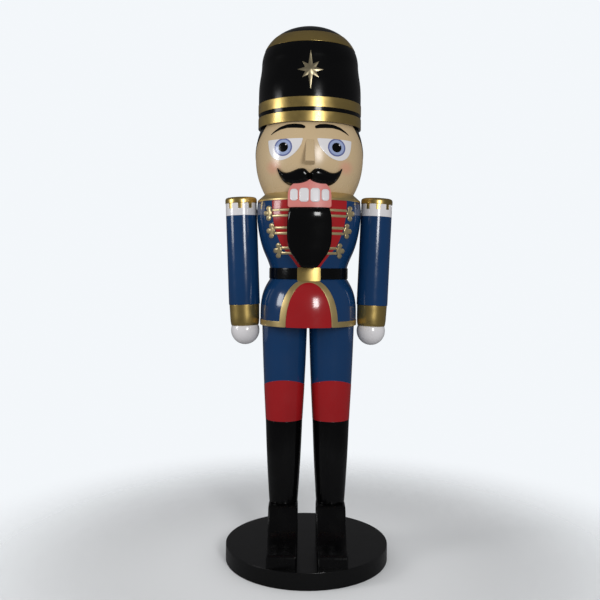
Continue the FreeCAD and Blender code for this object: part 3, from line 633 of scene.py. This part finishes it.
IRIS = lacquer("iris_paint", (0.30, 0.36, 0.55), coat=0.3, variation=0.08)
GOLD = gold_paint("gold_paint")
TRIM_GOLD = gold_paint("trim_gold_paint", (0.62, 0.47, 0.205), roughness=0.36, metallic=0.80)
# The braid's gold is a paler copy of the gold paint. Part of its lightness is the braid's own paler gold, and
# part is a painted highlight standing in for the sheen it catches from the lamps.
BRAID_GOLD_AND_SHEEN = gold_paint("braid_gold_and_painted_sheen", (0.80, 0.64, 0.35), roughness=0.33, metallic=0.80)
PALE_GOLD = gold_paint("pale_gold_paint", (0.62, 0.53, 0.34))
WOOD = bare_wood("sealed_wood")
STEEL = plated_steel("plated_steel")


# ---- plinth, shoes and legs ----
def build_plinth():
    rim = PLINTH_RADIUS
    profile = soften([(0, 0.0), (rim, 0.0, 0.0035), (rim, PLINTH_TOP, 0.0014), (0, PLINTH_TOP)])
    disc = turned(profile, steps=256)
    even_shading(make("plinth_disc", *disc, PLINTH_BLACK, "figure", "black_lacquer", ["plinth"]))


SHOE_TOE_Y = -0.248
SHOE_HEEL_Y = 0.058
SHOE_STATIONS = [  # y, half width, top, size of the upper corners
    (SHOE_TOE_Y, 0.0430, 0.0885, 0.003),
    (SHOE_TOE_Y + 0.0035, 0.0470, 0.0930, 0.004),
    (SHOE_TOE_Y + 0.010, 0.0486, 0.0955, 0.0045),
    (-0.225, 0.0490, 0.0966, 0.005),
    (-0.190, 0.0494, 0.0990, 0.005),
    (-0.178, 0.0496, 0.1003, 0.005),
    (-0.165, 0.0498, 0.1032, 0.006),
    (-0.146, 0.0499, 0.1095, 0.007),
    (-0.127, 0.0500, 0.1185, 0.008),
    (-0.108, 0.0502, 0.1310, 0.009),
    (-0.085, 0.0504, 0.1560, 0.010),
    (-0.066, 0.0505, 0.1785, 0.011),
    (-0.056, 0.0505, 0.1885, 0.011),
    (-0.048, 0.0505, 0.1930, 0.010),
    (0.000, 0.0505, ANKLE_Z, 0.010),
    (0.030, 0.0490, ANKLE_Z, 0.010),
    (0.048, 0.0395, 0.1925, 0.010),
    (SHOE_HEEL_Y - 0.003, 0.029, 0.188, 0.010),
    (SHOE_HEEL_Y, 0.0210, 0.182, 0.010),
]


def shoe_ring(y, half_width, top, corner):
    """One cross-section of a shoe: flat sole, upright sides and rounded shoulders."""
    low, eased = PLINTH_TOP, corner * 0.13
    side = [
        (half_width - 0.0015, low), (half_width, low + 0.002), (half_width, top - corner),
        (half_width - eased, top - corner * 0.5), (half_width - corner * 0.5, top - eased),
        (half_width - corner, top)]
    ring = side + [(-x, z) for x, z in reversed(side)]
    return [(x, y, z) for x, z in ring]


def build_shoe(side_name, side):
    """A carved shoe, lofted from toe to heel."""
    rings = [shoe_ring(*station) for station in SHOE_STATIONS]
    name = f"{side_name}_shoe_block"
    matrix = Matrix.Translation((side * LEG_X, 0, 0))
    piece = make(name, *loft(rings), SHOE_BLACK, "figure", "black_lacquer", [f"{side_name}_shoe"], matrix, 60)
    round_edges(piece, width=0.0012, segments=3, angle=35)


def knee_band(side_name, side):
    """A red band over the knee, whose top edge arches up at the front and back."""
    unit = 0.07
    half_turn = math.pi * unit
    low, side_top, arch, sharpness = BOOT_TOP_Z + PAINT_GAP, 0.596, 0.0235, 1.3
    upper = as_distance(lambda s, z: side_top + arch * abs(math.cos(s / unit)) ** sharpness - z)
    depth = all_of(above(low), upper)
    mesh = relief(depth, ((-half_turn, half_turn), (low - 0.004, 0.626)), 0.0035,
                  around(leg_radius, unit, side * LEG_X), flat(0.0004), edge=0.0003, wraps=True)
    make(f"{side_name}_knee_band", *mesh, RED, "figure", "red_lacquer")


def build_legs():
    for side_name, side in SIDES.items():
        build_shoe(side_name, side)
        boot = soften([(0, ANKLE_Z), (BOOT[0][0], ANKLE_Z, 0.0015)] + BOOT[1:-1]
                      + [(BOOT[-1][0], BOOT_TOP_Z, 0.0008), (0, BOOT_TOP_Z)])
        make(f"{side_name}_boot", *turned(boot, centre_x=side * LEG_X), BLACK, "figure", "black_lacquer",
             [f"{side_name}_boot_shaft"])
        leg = soften([(0, BOOT_TOP_Z), (LEG[0][0], BOOT_TOP_Z, 0.0008)] + LEG[1:-1]
                     + [(LEG[-1][0], HEM_Z, 0.001), (0, HEM_Z)])
        make(f"{side_name}_trouser_leg", *turned(leg, centre_x=side * LEG_X), BLUE, "figure", "blue_lacquer",
             [f"{side_name}_leg"])
        knee_band(side_name, side)


# ---- skirt, belt and buckle ----
def arch_shape(half_width, rise, power):
    """Positive under an arch that stands on the hem."""
    return lambda x, z: 1 - (abs(x) / half_width) ** power - (max(z - HEM_Z, 0) / rise) ** power


in_apron = as_distance(arch_shape(0.0755, 0.148, 2.1))
in_arch = as_distance(arch_shape(0.0965, 0.160, 2.2))


def build_skirt():
    inside = [(0.108, SKIRT_NECK_TOP), (0.108, 0.960), (0.130, 0.915), (0.146, 0.865), (0.146, HEM_Z)]
    neck = [(WAIST_RADIUS, BELT_Z[0] + 0.001), (WAIST_RADIUS, SKIRT_NECK_TOP)]
    shell = soften([(SKIRT[0][0], HEM_Z, 0.002)] + SKIRT[1:] + neck + inside)
    make("skirt_bell", *turned(shell), BLUE, "figure", "blue_lacquer", ["skirt"])
    unit = 0.165

    def flat_x(s, z):
        """How far to the side a point of the skirt's front is, and out of reach on its back."""
        angle = s / unit
        return math.sin(angle) * skirt_radius(z) if abs(angle) < math.pi / 2 else 1.0

    arch = all_of(lambda s, z: in_arch(flat_x(s, z), z), below(BELT_Z[0] - PAINT_GAP))
    trim = any_of(below(HEM_Z + HEM_BAND), arch)
    trim = all_of(trim, lambda s, z: -in_apron(flat_x(s, z), z), above(HEM_Z + 0.0002))
    half_turn = math.pi * unit
    mesh = relief(trim, ((-half_turn, half_turn), (HEM_Z - 0.003, BELT_Z[0] + 0.003)), 0.0025,
                  around(skirt_radius, unit), flat(0.0014), edge=0.0009, wraps=True)
    make("coat_edging", *mesh, TRIM_GOLD, "figure", "gold_paint", ["skirt_trim"])
    red = all_of(in_apron, above(HEM_Z + 0.0002), below(BELT_Z[0] - PAINT_GAP))
    mesh = relief(red, ((-0.078, 0.078), (HEM_Z - 0.003, 0.966)), 0.003, in_front(skirt_radius),
                  flat(0.0008), edge=0.0003)
    make("red_apron", *mesh, RED, "figure", "red_lacquer", ["apron_panel"])


def build_belt():
    low, high = BELT_Z
    ring = soften([
        (BELT_RADIUS, low, 0.003), (BELT_RADIUS, high, 0.003), (WAIST_RADIUS - 0.0005, high),
        (WAIST_RADIUS - 0.0005, low)])
    even_shading(make("belt_strap", *turned(ring), BLACK, "figure", "black_lacquer", ["belt"]))
    half = (BUCKLE_SIZE[0] / 2, BUCKLE_SIZE[1] / 2)
    depth = in_box((0, BUCKLE_Z), half, 0.003)
    mesh = relief(depth, ((-0.042, 0.042), (0.954, 1.006)), 0.0015, in_front(lambda z: BUCKLE_RADIUS),
                  flat(0.0), edge=0.0024, bury=0.0052)
    even_shading(make("buckle_plate", *mesh, GOLD, "figure", "gold_paint", ["buckle"]))


# ---- chest ----
LAPEL = [(0.1235, SHOULDER_Z), (0.1215, 1.185), (0.116, 1.145), (0.104, 1.104), (0.088, 1.070),
         (0.061, 1.036), (0.035, 1.0003)]
BRAID_ROWS = [
    {"bars": (1.190, 1.1715), "x": (0.058, 0.124), "trefoil": (0.1345, 1.181)},
    {"bars": (1.132, 1.114), "x": (0.058, 0.115), "trefoil": (0.125, 1.123)},
    {"bars": (1.066, 1.049), "x": (0.052, 0.092), "trefoil": (0.1015, 1.0575)},
]


def trefoil(x, z):
    """Depth inside a three-lobed boss: lobes up, down and outwards."""
    reach, lobe, middle, tip = 0.0165, 0.0085, 0.0088, 0.0045
    discs = [in_disc((x, z + reach), lobe), in_disc((x, z - reach), lobe), in_disc((x + lobe, z), middle)]
    stem = in_stroke([(x, z - reach, tip), (x - 0.0030, z, middle), (x, z + reach, tip)])
    return any_of(*discs, stem)


def build_chest():
    lapel_half = lookup(spline(LAPEL))
    lapel = as_distance(lambda x, z: lapel_half(z) - abs(x))
    jaw_slot = in_box((0, 1.1455), (0.038, 0.0525))
    red = all_of(lapel, above(BELT_Z[1] + 0.0006), below(SHOULDER_Z - PAINT_GAP), outside(jaw_slot))
    on_torso = in_front(torso_radius)
    mesh = relief(red, ((-0.128, 0.128), (0.997, 1.235)), 0.003, on_torso, flat(0.0011), edge=0.0003)
    make("red_front", *mesh, RED, "figure", "red_lacquer", ["front_panel"])
    bars, bosses = [], []
    for row in BRAID_ROWS:
        middle, half = sum(row["x"]) / 2, (row["x"][1] - row["x"][0]) / 2
        bars += [in_box((middle, z), (half, 0.0042)) for z in row["bars"]]
        bosses.append(trefoil(*row["trefoil"]))
    window = ((0.044, 0.15), (1.03, 1.21))
    for name, parts, step, reach, height, nodes in (
        ("braid", bars, 0.0012, 0.0038, 0.0034, ["braid_bars"]),
        ("trefoil_bosses", bosses, 0.0014, 0.006, 0.0048, ["braid_trefoils"]),
    ):
        mesh = relief(any_of(*parts), window, step, on_torso, domed(height, reach), edge=0.0008)
        # The braid and the trefoils take the paler gold, lightened in part as a painted highlight.
        make(name, *mirrored(*mesh), BRAID_GOLD_AND_SHEEN, "figure", "gold_paint", nodes)
    lip = TORSO[-1][0]
    ring = soften([(0.138, SHOULDER_Z), (lip, SHOULDER_Z, 0.0008), (lip - 0.0003, COLLAR_LIP_Z, 0.0015),
                   (0.1526, NECK_Z, 0.0015), (0.138, NECK_Z)])
    make("gold_collar", *turned(ring), TRIM_GOLD, "figure", "gold_paint", ["collar"])


# ---- head and face ----
def build_head():
    steps, low, high, wall = 40, NECK_Z - 0.004, 1.500, 0.024
    heights = [low + (high - low) * i / steps for i in range(steps + 1)]
    outer = [(head_radius(z), z) for z in heights]
    inner = [(r - wall, z) for r, z in reversed(outer)]
    make("painted_head", *turned(outer + inner), SKIN, "figure", "skin_paint", ["head"])
    degrees_round = [
        (60, HAT_Z + 0.003), (62, 1.473), (70.5, 1.440), (84.5, 1.405), (99.5, 1.350), (118, 1.290),
        (133, 1.262)]
    hair_edge = lookup([(math.radians(a), z) for a, z in degrees_round])
    unit = HEAD_RADIUS
    hair = as_distance(lambda s, z: (math.pi - hair_edge(z)) * unit - abs(s))
    hair = all_of(hair, above(NECK_Z + 0.012), below(HAT_Z + 0.003))
    half_turn = math.radians(122) * unit
    mesh = relief(hair, ((-half_turn, half_turn), (1.255, HAT_Z + 0.006)), 0.005,
                  around(head_radius, unit, start=math.pi), flat(0.0016), edge=0.0012)
    make("painted_hair", *mesh, BLACK, "figure", "black_lacquer", ["hair"])


EYE = spline([
    (0.0225, 1.421), (0.0305, 1.398), (0.0505, 1.372), (0.079, 1.3545), (0.108, 1.3535), (0.127, 1.369),
    (0.1345, 1.390), (0.1375, 1.421)], 6)
EYE_X = 0.0872
EYE_Z = 1.3935


def build_eyes():
    """Flat-lidded whites with ringed irises, each a thin layer of paint over the one below."""
    white = in_polygon(EYE)
    centre = (EYE_X, EYE_Z)
    on_head = in_front(head_radius)
    window = ((0.012, 0.142), (1.348, 1.426))
    layers = [
        ("eye_whites", white, WHITE, "white_paint", 0.0009, 0.0025, ["eyes"]),
        ("iris_rims", all_of(in_disc(centre, 0.0292), white), IRIS_RIM, "blue_lacquer", 0.0012, 0.0018, []),
        ("irises", all_of(in_disc(centre, 0.0246), white), IRIS, "blue_lacquer", 0.0015, 0.0018, []),
        ("pupils", in_disc(centre, 0.0158), BLACK, "black_lacquer", 0.0018, 0.0015, []),
    ]
    for name, depth, paint, slot, height, step, nodes in layers:
        mesh = relief(depth, window, step, on_head, flat(height), edge=0.0002)
        make(name, *mirrored(*mesh), paint, "figure", slot, nodes)
    # Painted highlight: a small white dot at the upper right of each pupil stands in for a lamp's reflection.
    glint_x, glint_z, glint_radius = 0.0092, EYE_Z + 0.0085, 0.0025
    discs = [in_disc((side * EYE_X + glint_x, glint_z), glint_radius) for side in SIDES.values()]
    window = ((-0.095, 0.105), (1.395, 1.410))
    mesh = relief(any_of(*discs), window, 0.0008, on_head, flat(0.0021), edge=0.0002)
    make("painted_eye_glints", *mesh, WHITE, "figure", "white_paint")


def build_brows():
    brow = [
        (0.021, 1.4590, 0.0054), (0.032, 1.4620, 0.0070), (0.052, 1.4638, 0.0073), (0.075, 1.4636, 0.0063),
        (0.098, 1.4580, 0.0047), (0.117, 1.4480, 0.0026), (0.129, 1.4392, 0.0008)]
    mesh = relief(both_sides(in_stroke(brow)), ((-0.133, 0.133), (1.435, 1.474)), 0.0012,
                  in_front(head_radius), flat(0.0007), edge=0.0002)
    make("eyebrows", *mesh, BLACK, "figure", "black_lacquer")


def build_nose():
    """A wedge with a flat underside, its ridge rising from the brow."""
    rings = []
    low, high, reach = 1.3375, 1.419, 0.046
    tip_half_width, taper, bury, steps = 0.0160, 0.0030, 0.012, 10
    for i in range(steps + 1):
        t = i / steps
        z = low + (high - low) * t
        surface = head_radius(z)
        front = surface + reach * (1 - t) ** 0.95 - 0.001 * t
        half = tip_half_width - taper * t
        back = surface - bury
        tilt = 0.004 * (1 - t) ** 6
        rings.append([
            (-half, -back, z - tilt), (-half, -front, z + tilt), (half, -front, z + tilt),
            (half, -back, z - tilt)])
    piece = make("nose_wedge", *loft(rings), SKIN, "figure", "skin_paint", ["nose"], edge_angle=60)
    round_edges(piece, width=0.0035, segments=4, angle=35)


MOUSTACHE_TOP = [
    (0, 1.3085), (0.006, 1.3135), (0.014, 1.3205), (0.026, 1.3235), (0.042, 1.3205), (0.060, 1.3135),
    (0.078, 1.3105), (0.093, 1.3155), (0.1035, 1.3245), (0.110, 1.3345)]
MOUSTACHE_LOW = [
    (0, 1.2840), (0.010, 1.2785), (0.024, 1.2715), (0.042, 1.2680), (0.060, 1.2695), (0.077, 1.2765),
    (0.090, 1.2885), (0.1005, 1.3060), (0.110, 1.3340)]


def build_moustache():
    """Two swept lobes that swell from the lip and end in upturned points."""
    upper, lower = spline(MOUSTACHE_TOP, 4), spline(MOUSTACHE_LOW, 4)
    right = upper + lower[-2:0:-1]
    outline = right + [(-x, z) for x, z in reversed(right)][1:-1]
    half = in_polygon(upper + lower[::-1])
    whole = in_polygon(outline)
    foot, rise, reach, dimple = 0.0016, 0.0165, 0.021, 0.02

    def top(depth, x, z):
        swell = min(max(half(abs(x), z), 0) / reach, 1)
        fullness = min(1, 0.5 + abs(x) / dimple)
        return foot + rise * math.sqrt(max(1 - (1 - swell) ** 2, 0)) * fullness

    window = ((-0.113, 0.113), (1.262, 1.338))
    mesh = relief(whole, window, 0.0014, in_front(head_radius), top, edge=0.0012)
    make("moustache_carving", *mesh, BLACK, "figure", "black_lacquer", ["moustache"])


MOUTH_EDGE = [(MOUTH_HALF_WIDTH, MOUTH_Z), (MOUTH_HALF_WIDTH, 1.236), (0.0686, 1.252), (0.0621, 1.2655),
              (0.0493, 1.277), (0.0296, 1.285), (0.0, 1.288)]
TEETH = [(0.0180, 0.0152, 1.2146, 1.2602), (0.0510, 0.0123, 1.2188, 1.2574)]


def build_mouth():
    side = MOUTH_EDGE[:2] + spline(MOUTH_EDGE[1:], 5)[1:]
    outline = side + [(-x, z) for x, z in reversed(side)][1:]
    gum = in_polygon(outline)
    on_mouth = in_front(mouth_radius)
    mesh = relief(gum, ((-0.075, 0.075), (1.193, 1.292)), 0.003, on_mouth, flat(0.0), edge=0.0022,
                  back=lambda x, z: (x, -0.130, z))
    even_shading(make("gums", *mesh, GUM, "figure", "gum_paint", ["mouth_block"]))
    teeth = []
    for middle, half, low, high in TEETH:
        teeth.append(in_box((middle, (low + high) / 2), (half, (high - low) / 2), 0.0095))
    mesh = relief(both_sides(any_of(*teeth)), ((-0.066, 0.066), (1.211, 1.263)), 0.0012, on_mouth,
                  domed(0.0034, 0.006), edge=0.0008)
    make("painted_teeth", *mesh, WHITE, "figure", "white_paint", ["teeth"])


# ---- jaw: beard and lever ----
BEARD_EDGE = [(0.0640, JAW_TOP_Z), (0.0700, 1.170), (0.0725, 1.135), (0.0722, 1.100), (0.0640, 1.059),
              (0.0480, 1.033), (0.0340, 1.014), (0.0240, 1.0015)]
BEARD_FRONT = lookup(spline([
    (0.1995, JAW_TOP_Z), (0.2045, 1.190), (0.2070, 1.182), (0.2077, 1.172), (0.2066, 1.158), (0.2035, 1.135),
    (0.1995, 1.105), (0.1925, 1.050), (0.181, 1.0015)]))
BEARD_BACK = lookup([(0.185, JAW_TOP_Z), (0.170, 1.0015)])


def build_beard():
    """A shield whose front leans in towards the belt, with softly rounded rims."""
    side = spline(BEARD_EDGE, 6)
    outline = side + [(-x, z) for x, z in reversed(side)]
    shield = in_polygon(outline)
    curvature, ease, drop = 3.0, 0.007, 0.004

    def place(x, z, height):
        return x, -(BEARD_FRONT(z) - x * x * curvature + height), z

    def top(depth, x, z):
        share = min(depth / ease, 1)
        return -drop * (1 - share) ** 2

    mesh = relief(shield, ((-0.078, 0.078), (0.996, 1.200)), 0.003, place, top, edge=0.0016,
                  back=lambda x, z: (x, -BEARD_BACK(z), z))
    make("beard_carving", *mesh, BLACK, "jaw", "black_lacquer", ["beard"], edge_angle=60)


def build_lever():
    """The lever board: jaw arm, boss, rear arm and the long handle down the back."""
    tail_y, end_z = 0.184, 0.835
    outline = soften([
        (-0.095, JAW_TOP_Z), (-0.095, 1.140), (-0.040, 1.078, 0.02), (-0.005, 1.062, 0.02),
        (0.030, 1.062, 0.02), (0.110, 1.092, 0.03), (0.160, 1.104, 0.02), (tail_y - 0.006, 1.100, 0.005),
        (tail_y, 1.082, 0.008), (tail_y, 0.900, 0.03), (tail_y + 0.005, end_z, 0.012),
        (tail_y + 0.034, end_z, 0.012), (tail_y + 0.036, 0.900, 0.03), (tail_y + 0.042, 1.110, 0.012),
        (tail_y + 0.034, 1.140, 0.012), (tail_y + 0.012, 1.156, 0.012), (0.120, 1.158, 0.03),
        (0.020, 1.162, 0.03), (-0.050, 1.184, 0.02)], steps=5)
    half = lookup(spline([
        (0.033, 1.200), (0.033, 1.120), (0.026, 1.000), (0.026, 0.930), (0.031, 0.880), (0.031, 0.850),
        (0.0235, end_z)], 4))
    rings = [[(side * half(z), y, z) for y, z in outline] for side in (-1, 1)]
    piece = make("lever_board", *loft(rings), BLACK, "jaw", "black_lacquer", ["jaw_lever"], edge_angle=50)
    round_edges(piece, width=0.005, segments=4, angle=55)


# ---- hat ----
def build_hat():
    wall = 0.007
    outer = [(HAT_RADIUS, HAT_Z, 0.0015)] + hat_outline()
    inner = hat_outline(wall)[::-1] + [(HAT_RADIUS - wall, HAT_Z, 0.001)]
    make("hat_shell", *turned(soften(outer + inner)), BLACK, "figure", "black_lacquer", ["hat"])
    vertices, faces = [], []
    for low, high in HAT_BANDS:
        more, sides = turned(band_profile(hat_radius, low + 0.0003, high, lift=0.0012))
        faces += [[k + len(vertices) for k in face] for face in sides]
        vertices += more
    even_shading(make("hat_hoops", vertices, faces, GOLD, "figure", "gold_paint", ["hat_bands"]))
    crown = turned(band_profile(hat_radius, *CROWN_BAND, lift=0.0011, steps=14))
    make("crown_hoop", *crown, GOLD, "figure", "gold_paint", ["hat_crown_band"])


def build_star():
    """A plain eight-pointed star, taller than it is wide, with a ridge down each point."""
    centre_z, wide, tall, small, waist = 1.646, 0.043, 0.066, 0.039, 0.019
    foot, slope = 0.0012, 0.16
    points = []
    for step in range(16):
        angle = math.radians(22.5 * step)
        reach = {0: wide, 8: wide, 4: tall, 12: tall}.get(step, small if step % 2 == 0 else waist)
        points.append((reach * math.cos(angle), centre_z + reach * math.sin(angle)))
    mesh = relief(in_polygon(points), ((-0.046, 0.046), (1.576, 1.716)), 0.0014, in_front(hat_radius),
                  lambda depth, x, z: foot + slope * max(depth, 0), edge=0.0003)
    make("star_badge", *mesh, PALE_GOLD, "figure", "gold_paint", ["hat_star"], edge_angle=20)


# ---- arms ----
def arm_place(side):
    """Where an arm's own frame is: Z up along the arm, from its shoulder bolt."""
    lean = Matrix.Rotation(ARM_LEAN, 4, "Y")
    left = Matrix.Translation((ARM_X, 0, ARM_AXIS_Z)) @ lean
    return left if side > 0 else Matrix.Scale(-1, 4, (1, 0, 0)) @ left


def battlements():
    """The white band: a ring with square teeth along its upper edge."""
    unit = ARM_RADIUS
    pitch = 2 * math.pi * unit / CRENELS
    low, high = ARM_BAND
    tooth = in_box((0, (low + high) / 2), (pitch / 2 - CRENEL_HALF_WIDTH, (high - low) / 2), 0.0008)

    def depth(s, z):
        return max(tooth(s % pitch - pitch / 2, z), min(z - low, CRENEL_FLOOR - z))

    half_turn = math.pi * unit
    return relief(depth, ((-half_turn, half_turn), (low - 0.003, high + 0.003)), 0.0015,
                  around(lambda z: ARM_RADIUS - BAND_DEPTH, unit), flat(BAND_DEPTH), edge=0.0006,
                  bury=0.0004, wraps=True)


def build_arm(side_name, side):
    body, place = f"{side_name}_arm", arm_place(side)

    def turn(name, profile, paint, slot, node):
        mesh = turned(soften(profile), steps=96)
        even_shading(make(name, *mesh, paint, body, slot, [f"{side_name}_{node}"], place))

    r = ARM_RADIUS
    low, high = ARM_BAND
    turn(f"{side_name}_sleeve", [
        (0, SLEEVE_END), (r, SLEEVE_END, 0.001), (r, low), (r - 0.0014, low + 0.0005),
        (r - 0.0014, SLEEVE_TOP), (0, SLEEVE_TOP)],
        SLEEVE_BLUE, "blue_lacquer", "arm_sleeve")
    turn(f"{side_name}_gold_cap", [
        (0, CAP_FOOT), (r - BAND_DEPTH, CAP_FOOT), (r - BAND_DEPTH, high),
        (r + 0.001, high + 0.0005, 0.0008), (r + 0.001, CAP_TOP, 0.013), (0, CAP_TOP)],
        GOLD, "gold_paint", "shoulder_cap")
    turn(f"{side_name}_gold_cuff", [
        (0, CUFF_END), (0.047, CUFF_END, 0.001), (0.049, -0.386, 0.003), (0.0502, -0.372, 0.008),
        (0.051, -0.345, 0.01), (0.0518, SLEEVE_END, 0.001), (0, SLEEVE_END)],
        GOLD, "gold_paint", "cuff")
    ball = [(0, HAND_Z - HAND_RADIUS)]
    steps, start, end = 28, -math.pi / 2, math.radians(68)
    for i in range(1, steps + 1):
        angle = start + (end - start) * i / steps
        ball.append((HAND_RADIUS * math.cos(angle), HAND_Z + HAND_RADIUS * math.sin(angle)))
    turn(f"{side_name}_ball_hand", ball + [(0, ball[-1][1])], WHITE, "white_paint", "hand")
    make(f"{side_name}_battlement_band", *battlements(), WHITE, body, "white_paint",
         [f"{side_name}_arm_band"], place)


# ---- carried-over CAD nodes ----
def paint_cad_nodes():
    """Gives every CAD piece that still shows its material."""
    paints = {"black_lacquer": BLACK, "blue_lacquer": BLUE, "red_lacquer": RED, "gold_paint": GOLD,
              "skin_paint": SKIN, "white_paint": WHITE, "gum_paint": GUM, "bare_wood": WOOD, "steel": STEEL}
    slots = {part["node"]: part["material_slot"] for part in frame["record"]["subparts"]}
    for name, node in frame["nodes"].items():
        if not node.hide_render:
            node.data.materials.clear()
            node.data.materials.append(paints[slots[name]])


# ---- studio ----
CAMERA_HEIGHT = 1.0205
CAMERA_DISTANCE = 2.576
CAMERA_AZIMUTH = math.radians(-0.6)
FOCAL_SHARE = 1.2362  # focal length over the picture's width
HORIZON_RISE = 0.0633  # how far the horizon is above the middle, over the picture's width
AXIS_SHIFT = 0.0143  # how far the figure's axis is right of the middle, over the picture's width
ROLL = math.radians(0.44)


def build_camera():
    data = bpy.data.cameras.new("camera")
    data.sensor_width = 36
    data.lens = data.sensor_width * FOCAL_SHARE
    data.shift_x = -AXIS_SHIFT
    data.shift_y = -HORIZON_RISE
    data.dof.use_dof = False
    camera = bpy.data.objects.new("camera", data)
    across, back = math.sin(CAMERA_AZIMUTH), math.cos(CAMERA_AZIMUTH)
    camera.location = (CAMERA_DISTANCE * across, -CAMERA_DISTANCE * back, CAMERA_HEIGHT)
    camera.rotation_euler = (math.pi / 2, -ROLL, CAMERA_AZIMUTH)
    bpy.context.scene.collection.objects.link(camera)
    bpy.context.scene.camera = camera


def softbox(name, azimuth, distance, height, size, power, aim):
    """A rectangular light. Azimuth 0 is on the camera's side, and it grows towards +X."""
    data = bpy.data.lights.new(name, "AREA")
    data.shape = "RECTANGLE"
    data.size, data.size_y = size
    data.energy = power
    light = bpy.data.objects.new(name, data)
    angle = math.radians(azimuth)
    light.location = (distance * math.sin(angle), -distance * math.cos(angle), height)
    light.rotation_euler = (Vector(aim) - light.location).to_track_quat("-Z", "Y").to_euler()
    bpy.context.scene.collection.objects.link(light)


def build_floor():
    """A pale disc that fades into the background, and that gloss paint reflects only faintly."""
    reach, solid_within, gone_at = 4.0, 0.32, 1.5
    vertices, faces = turned([(0, -0.01), (reach, -0.01), (reach, 0), (0, 0)], steps=96)
    mesh = bpy.data.meshes.new("floor")
    mesh.from_pydata(vertices, [], faces)
    material, tree = new_tree("pale_floor")
    place = add(tree, "TexCoord").outputs["Object"]
    distance = reckon(tree, "VectorMath", "LENGTH", place).outputs["Value"]
    fade = add(tree, "MapRange", {"interpolation_type": "SMOOTHSTEP"}, Value=distance,
               From_Min=solid_within, From_Max=gone_at, To_Min=0.0, To_Max=1.0).outputs["Result"]
    rays = add(tree, "LightPath").outputs
    pale = mixed(tree, rays["Is Camera Ray"], (0.40, 0.405, 0.41), (0.88, 0.885, 0.89))
    shader = add(tree, "BsdfPrincipled", Base_Color=pale, Roughness=0.8)
    clear = add(tree, "BsdfTransparent")
    dimmed = reckon(tree, "Math", "MULTIPLY", rays["Is Glossy Ray"], 0.8).outputs["Value"]
    thinned = reckon(tree, "Math", "MAXIMUM", fade, dimmed).outputs["Value"]
    both = add(tree, "MixShader", Fac=thinned)
    tree.links.new(shader.outputs["BSDF"], both.inputs[1])
    tree.links.new(clear.outputs["BSDF"], both.inputs[2])
    add(tree, "OutputMaterial", Surface=both.outputs["Shader"])
    mesh.materials.append(material)
    floor = bpy.data.objects.new("floor", mesh)
    bpy.context.scene.collection.objects.link(floor)


def build_world():
    """A pale backdrop, soft all-round light, and a dim room for gloss paint to reflect."""
    world = bpy.data.worlds.new("studio")
    world.use_nodes = True
    tree = world.node_tree
    tree.nodes.clear()
    rays = add(tree, "LightPath")
    lit = mixed(tree, rays.outputs["Is Glossy Ray"], (0.50, 0.51, 0.52), (0.080, 0.080, 0.083))
    seen = mixed(tree, rays.outputs["Is Camera Ray"], lit, (0.90, 0.93, 0.96))
    background = add(tree, "Background", Color=seen, Strength=1.0)
    add(tree, "OutputWorld", Surface=background.outputs["Background"])
    bpy.context.scene.world = world


def build_studio():
    build_floor()
    build_world()
    softbox("key_softbox", azimuth=17.5, distance=3.2, height=1.65, size=(0.68, 1.0), power=43,
            aim=(0, 0, 1.2))
    softbox("left_softbox", azimuth=-72, distance=2.6, height=1.56, size=(0.7, 1.0), power=18,
            aim=(0, 0, 1.1))
    view = bpy.context.scene.view_settings
    view.view_transform = "Standard"
    view.look = "None"


build_camera()
build_studio()
build_plinth()
build_legs()
build_skirt()
build_belt()
build_chest()
build_head()
build_eyes()
build_brows()
build_nose()
build_moustache()
build_mouth()
build_beard()
build_lever()
build_hat()
build_star()
for side_name, side in SIDES.items():
    build_arm(side_name, side)
paint_cad_nodes()
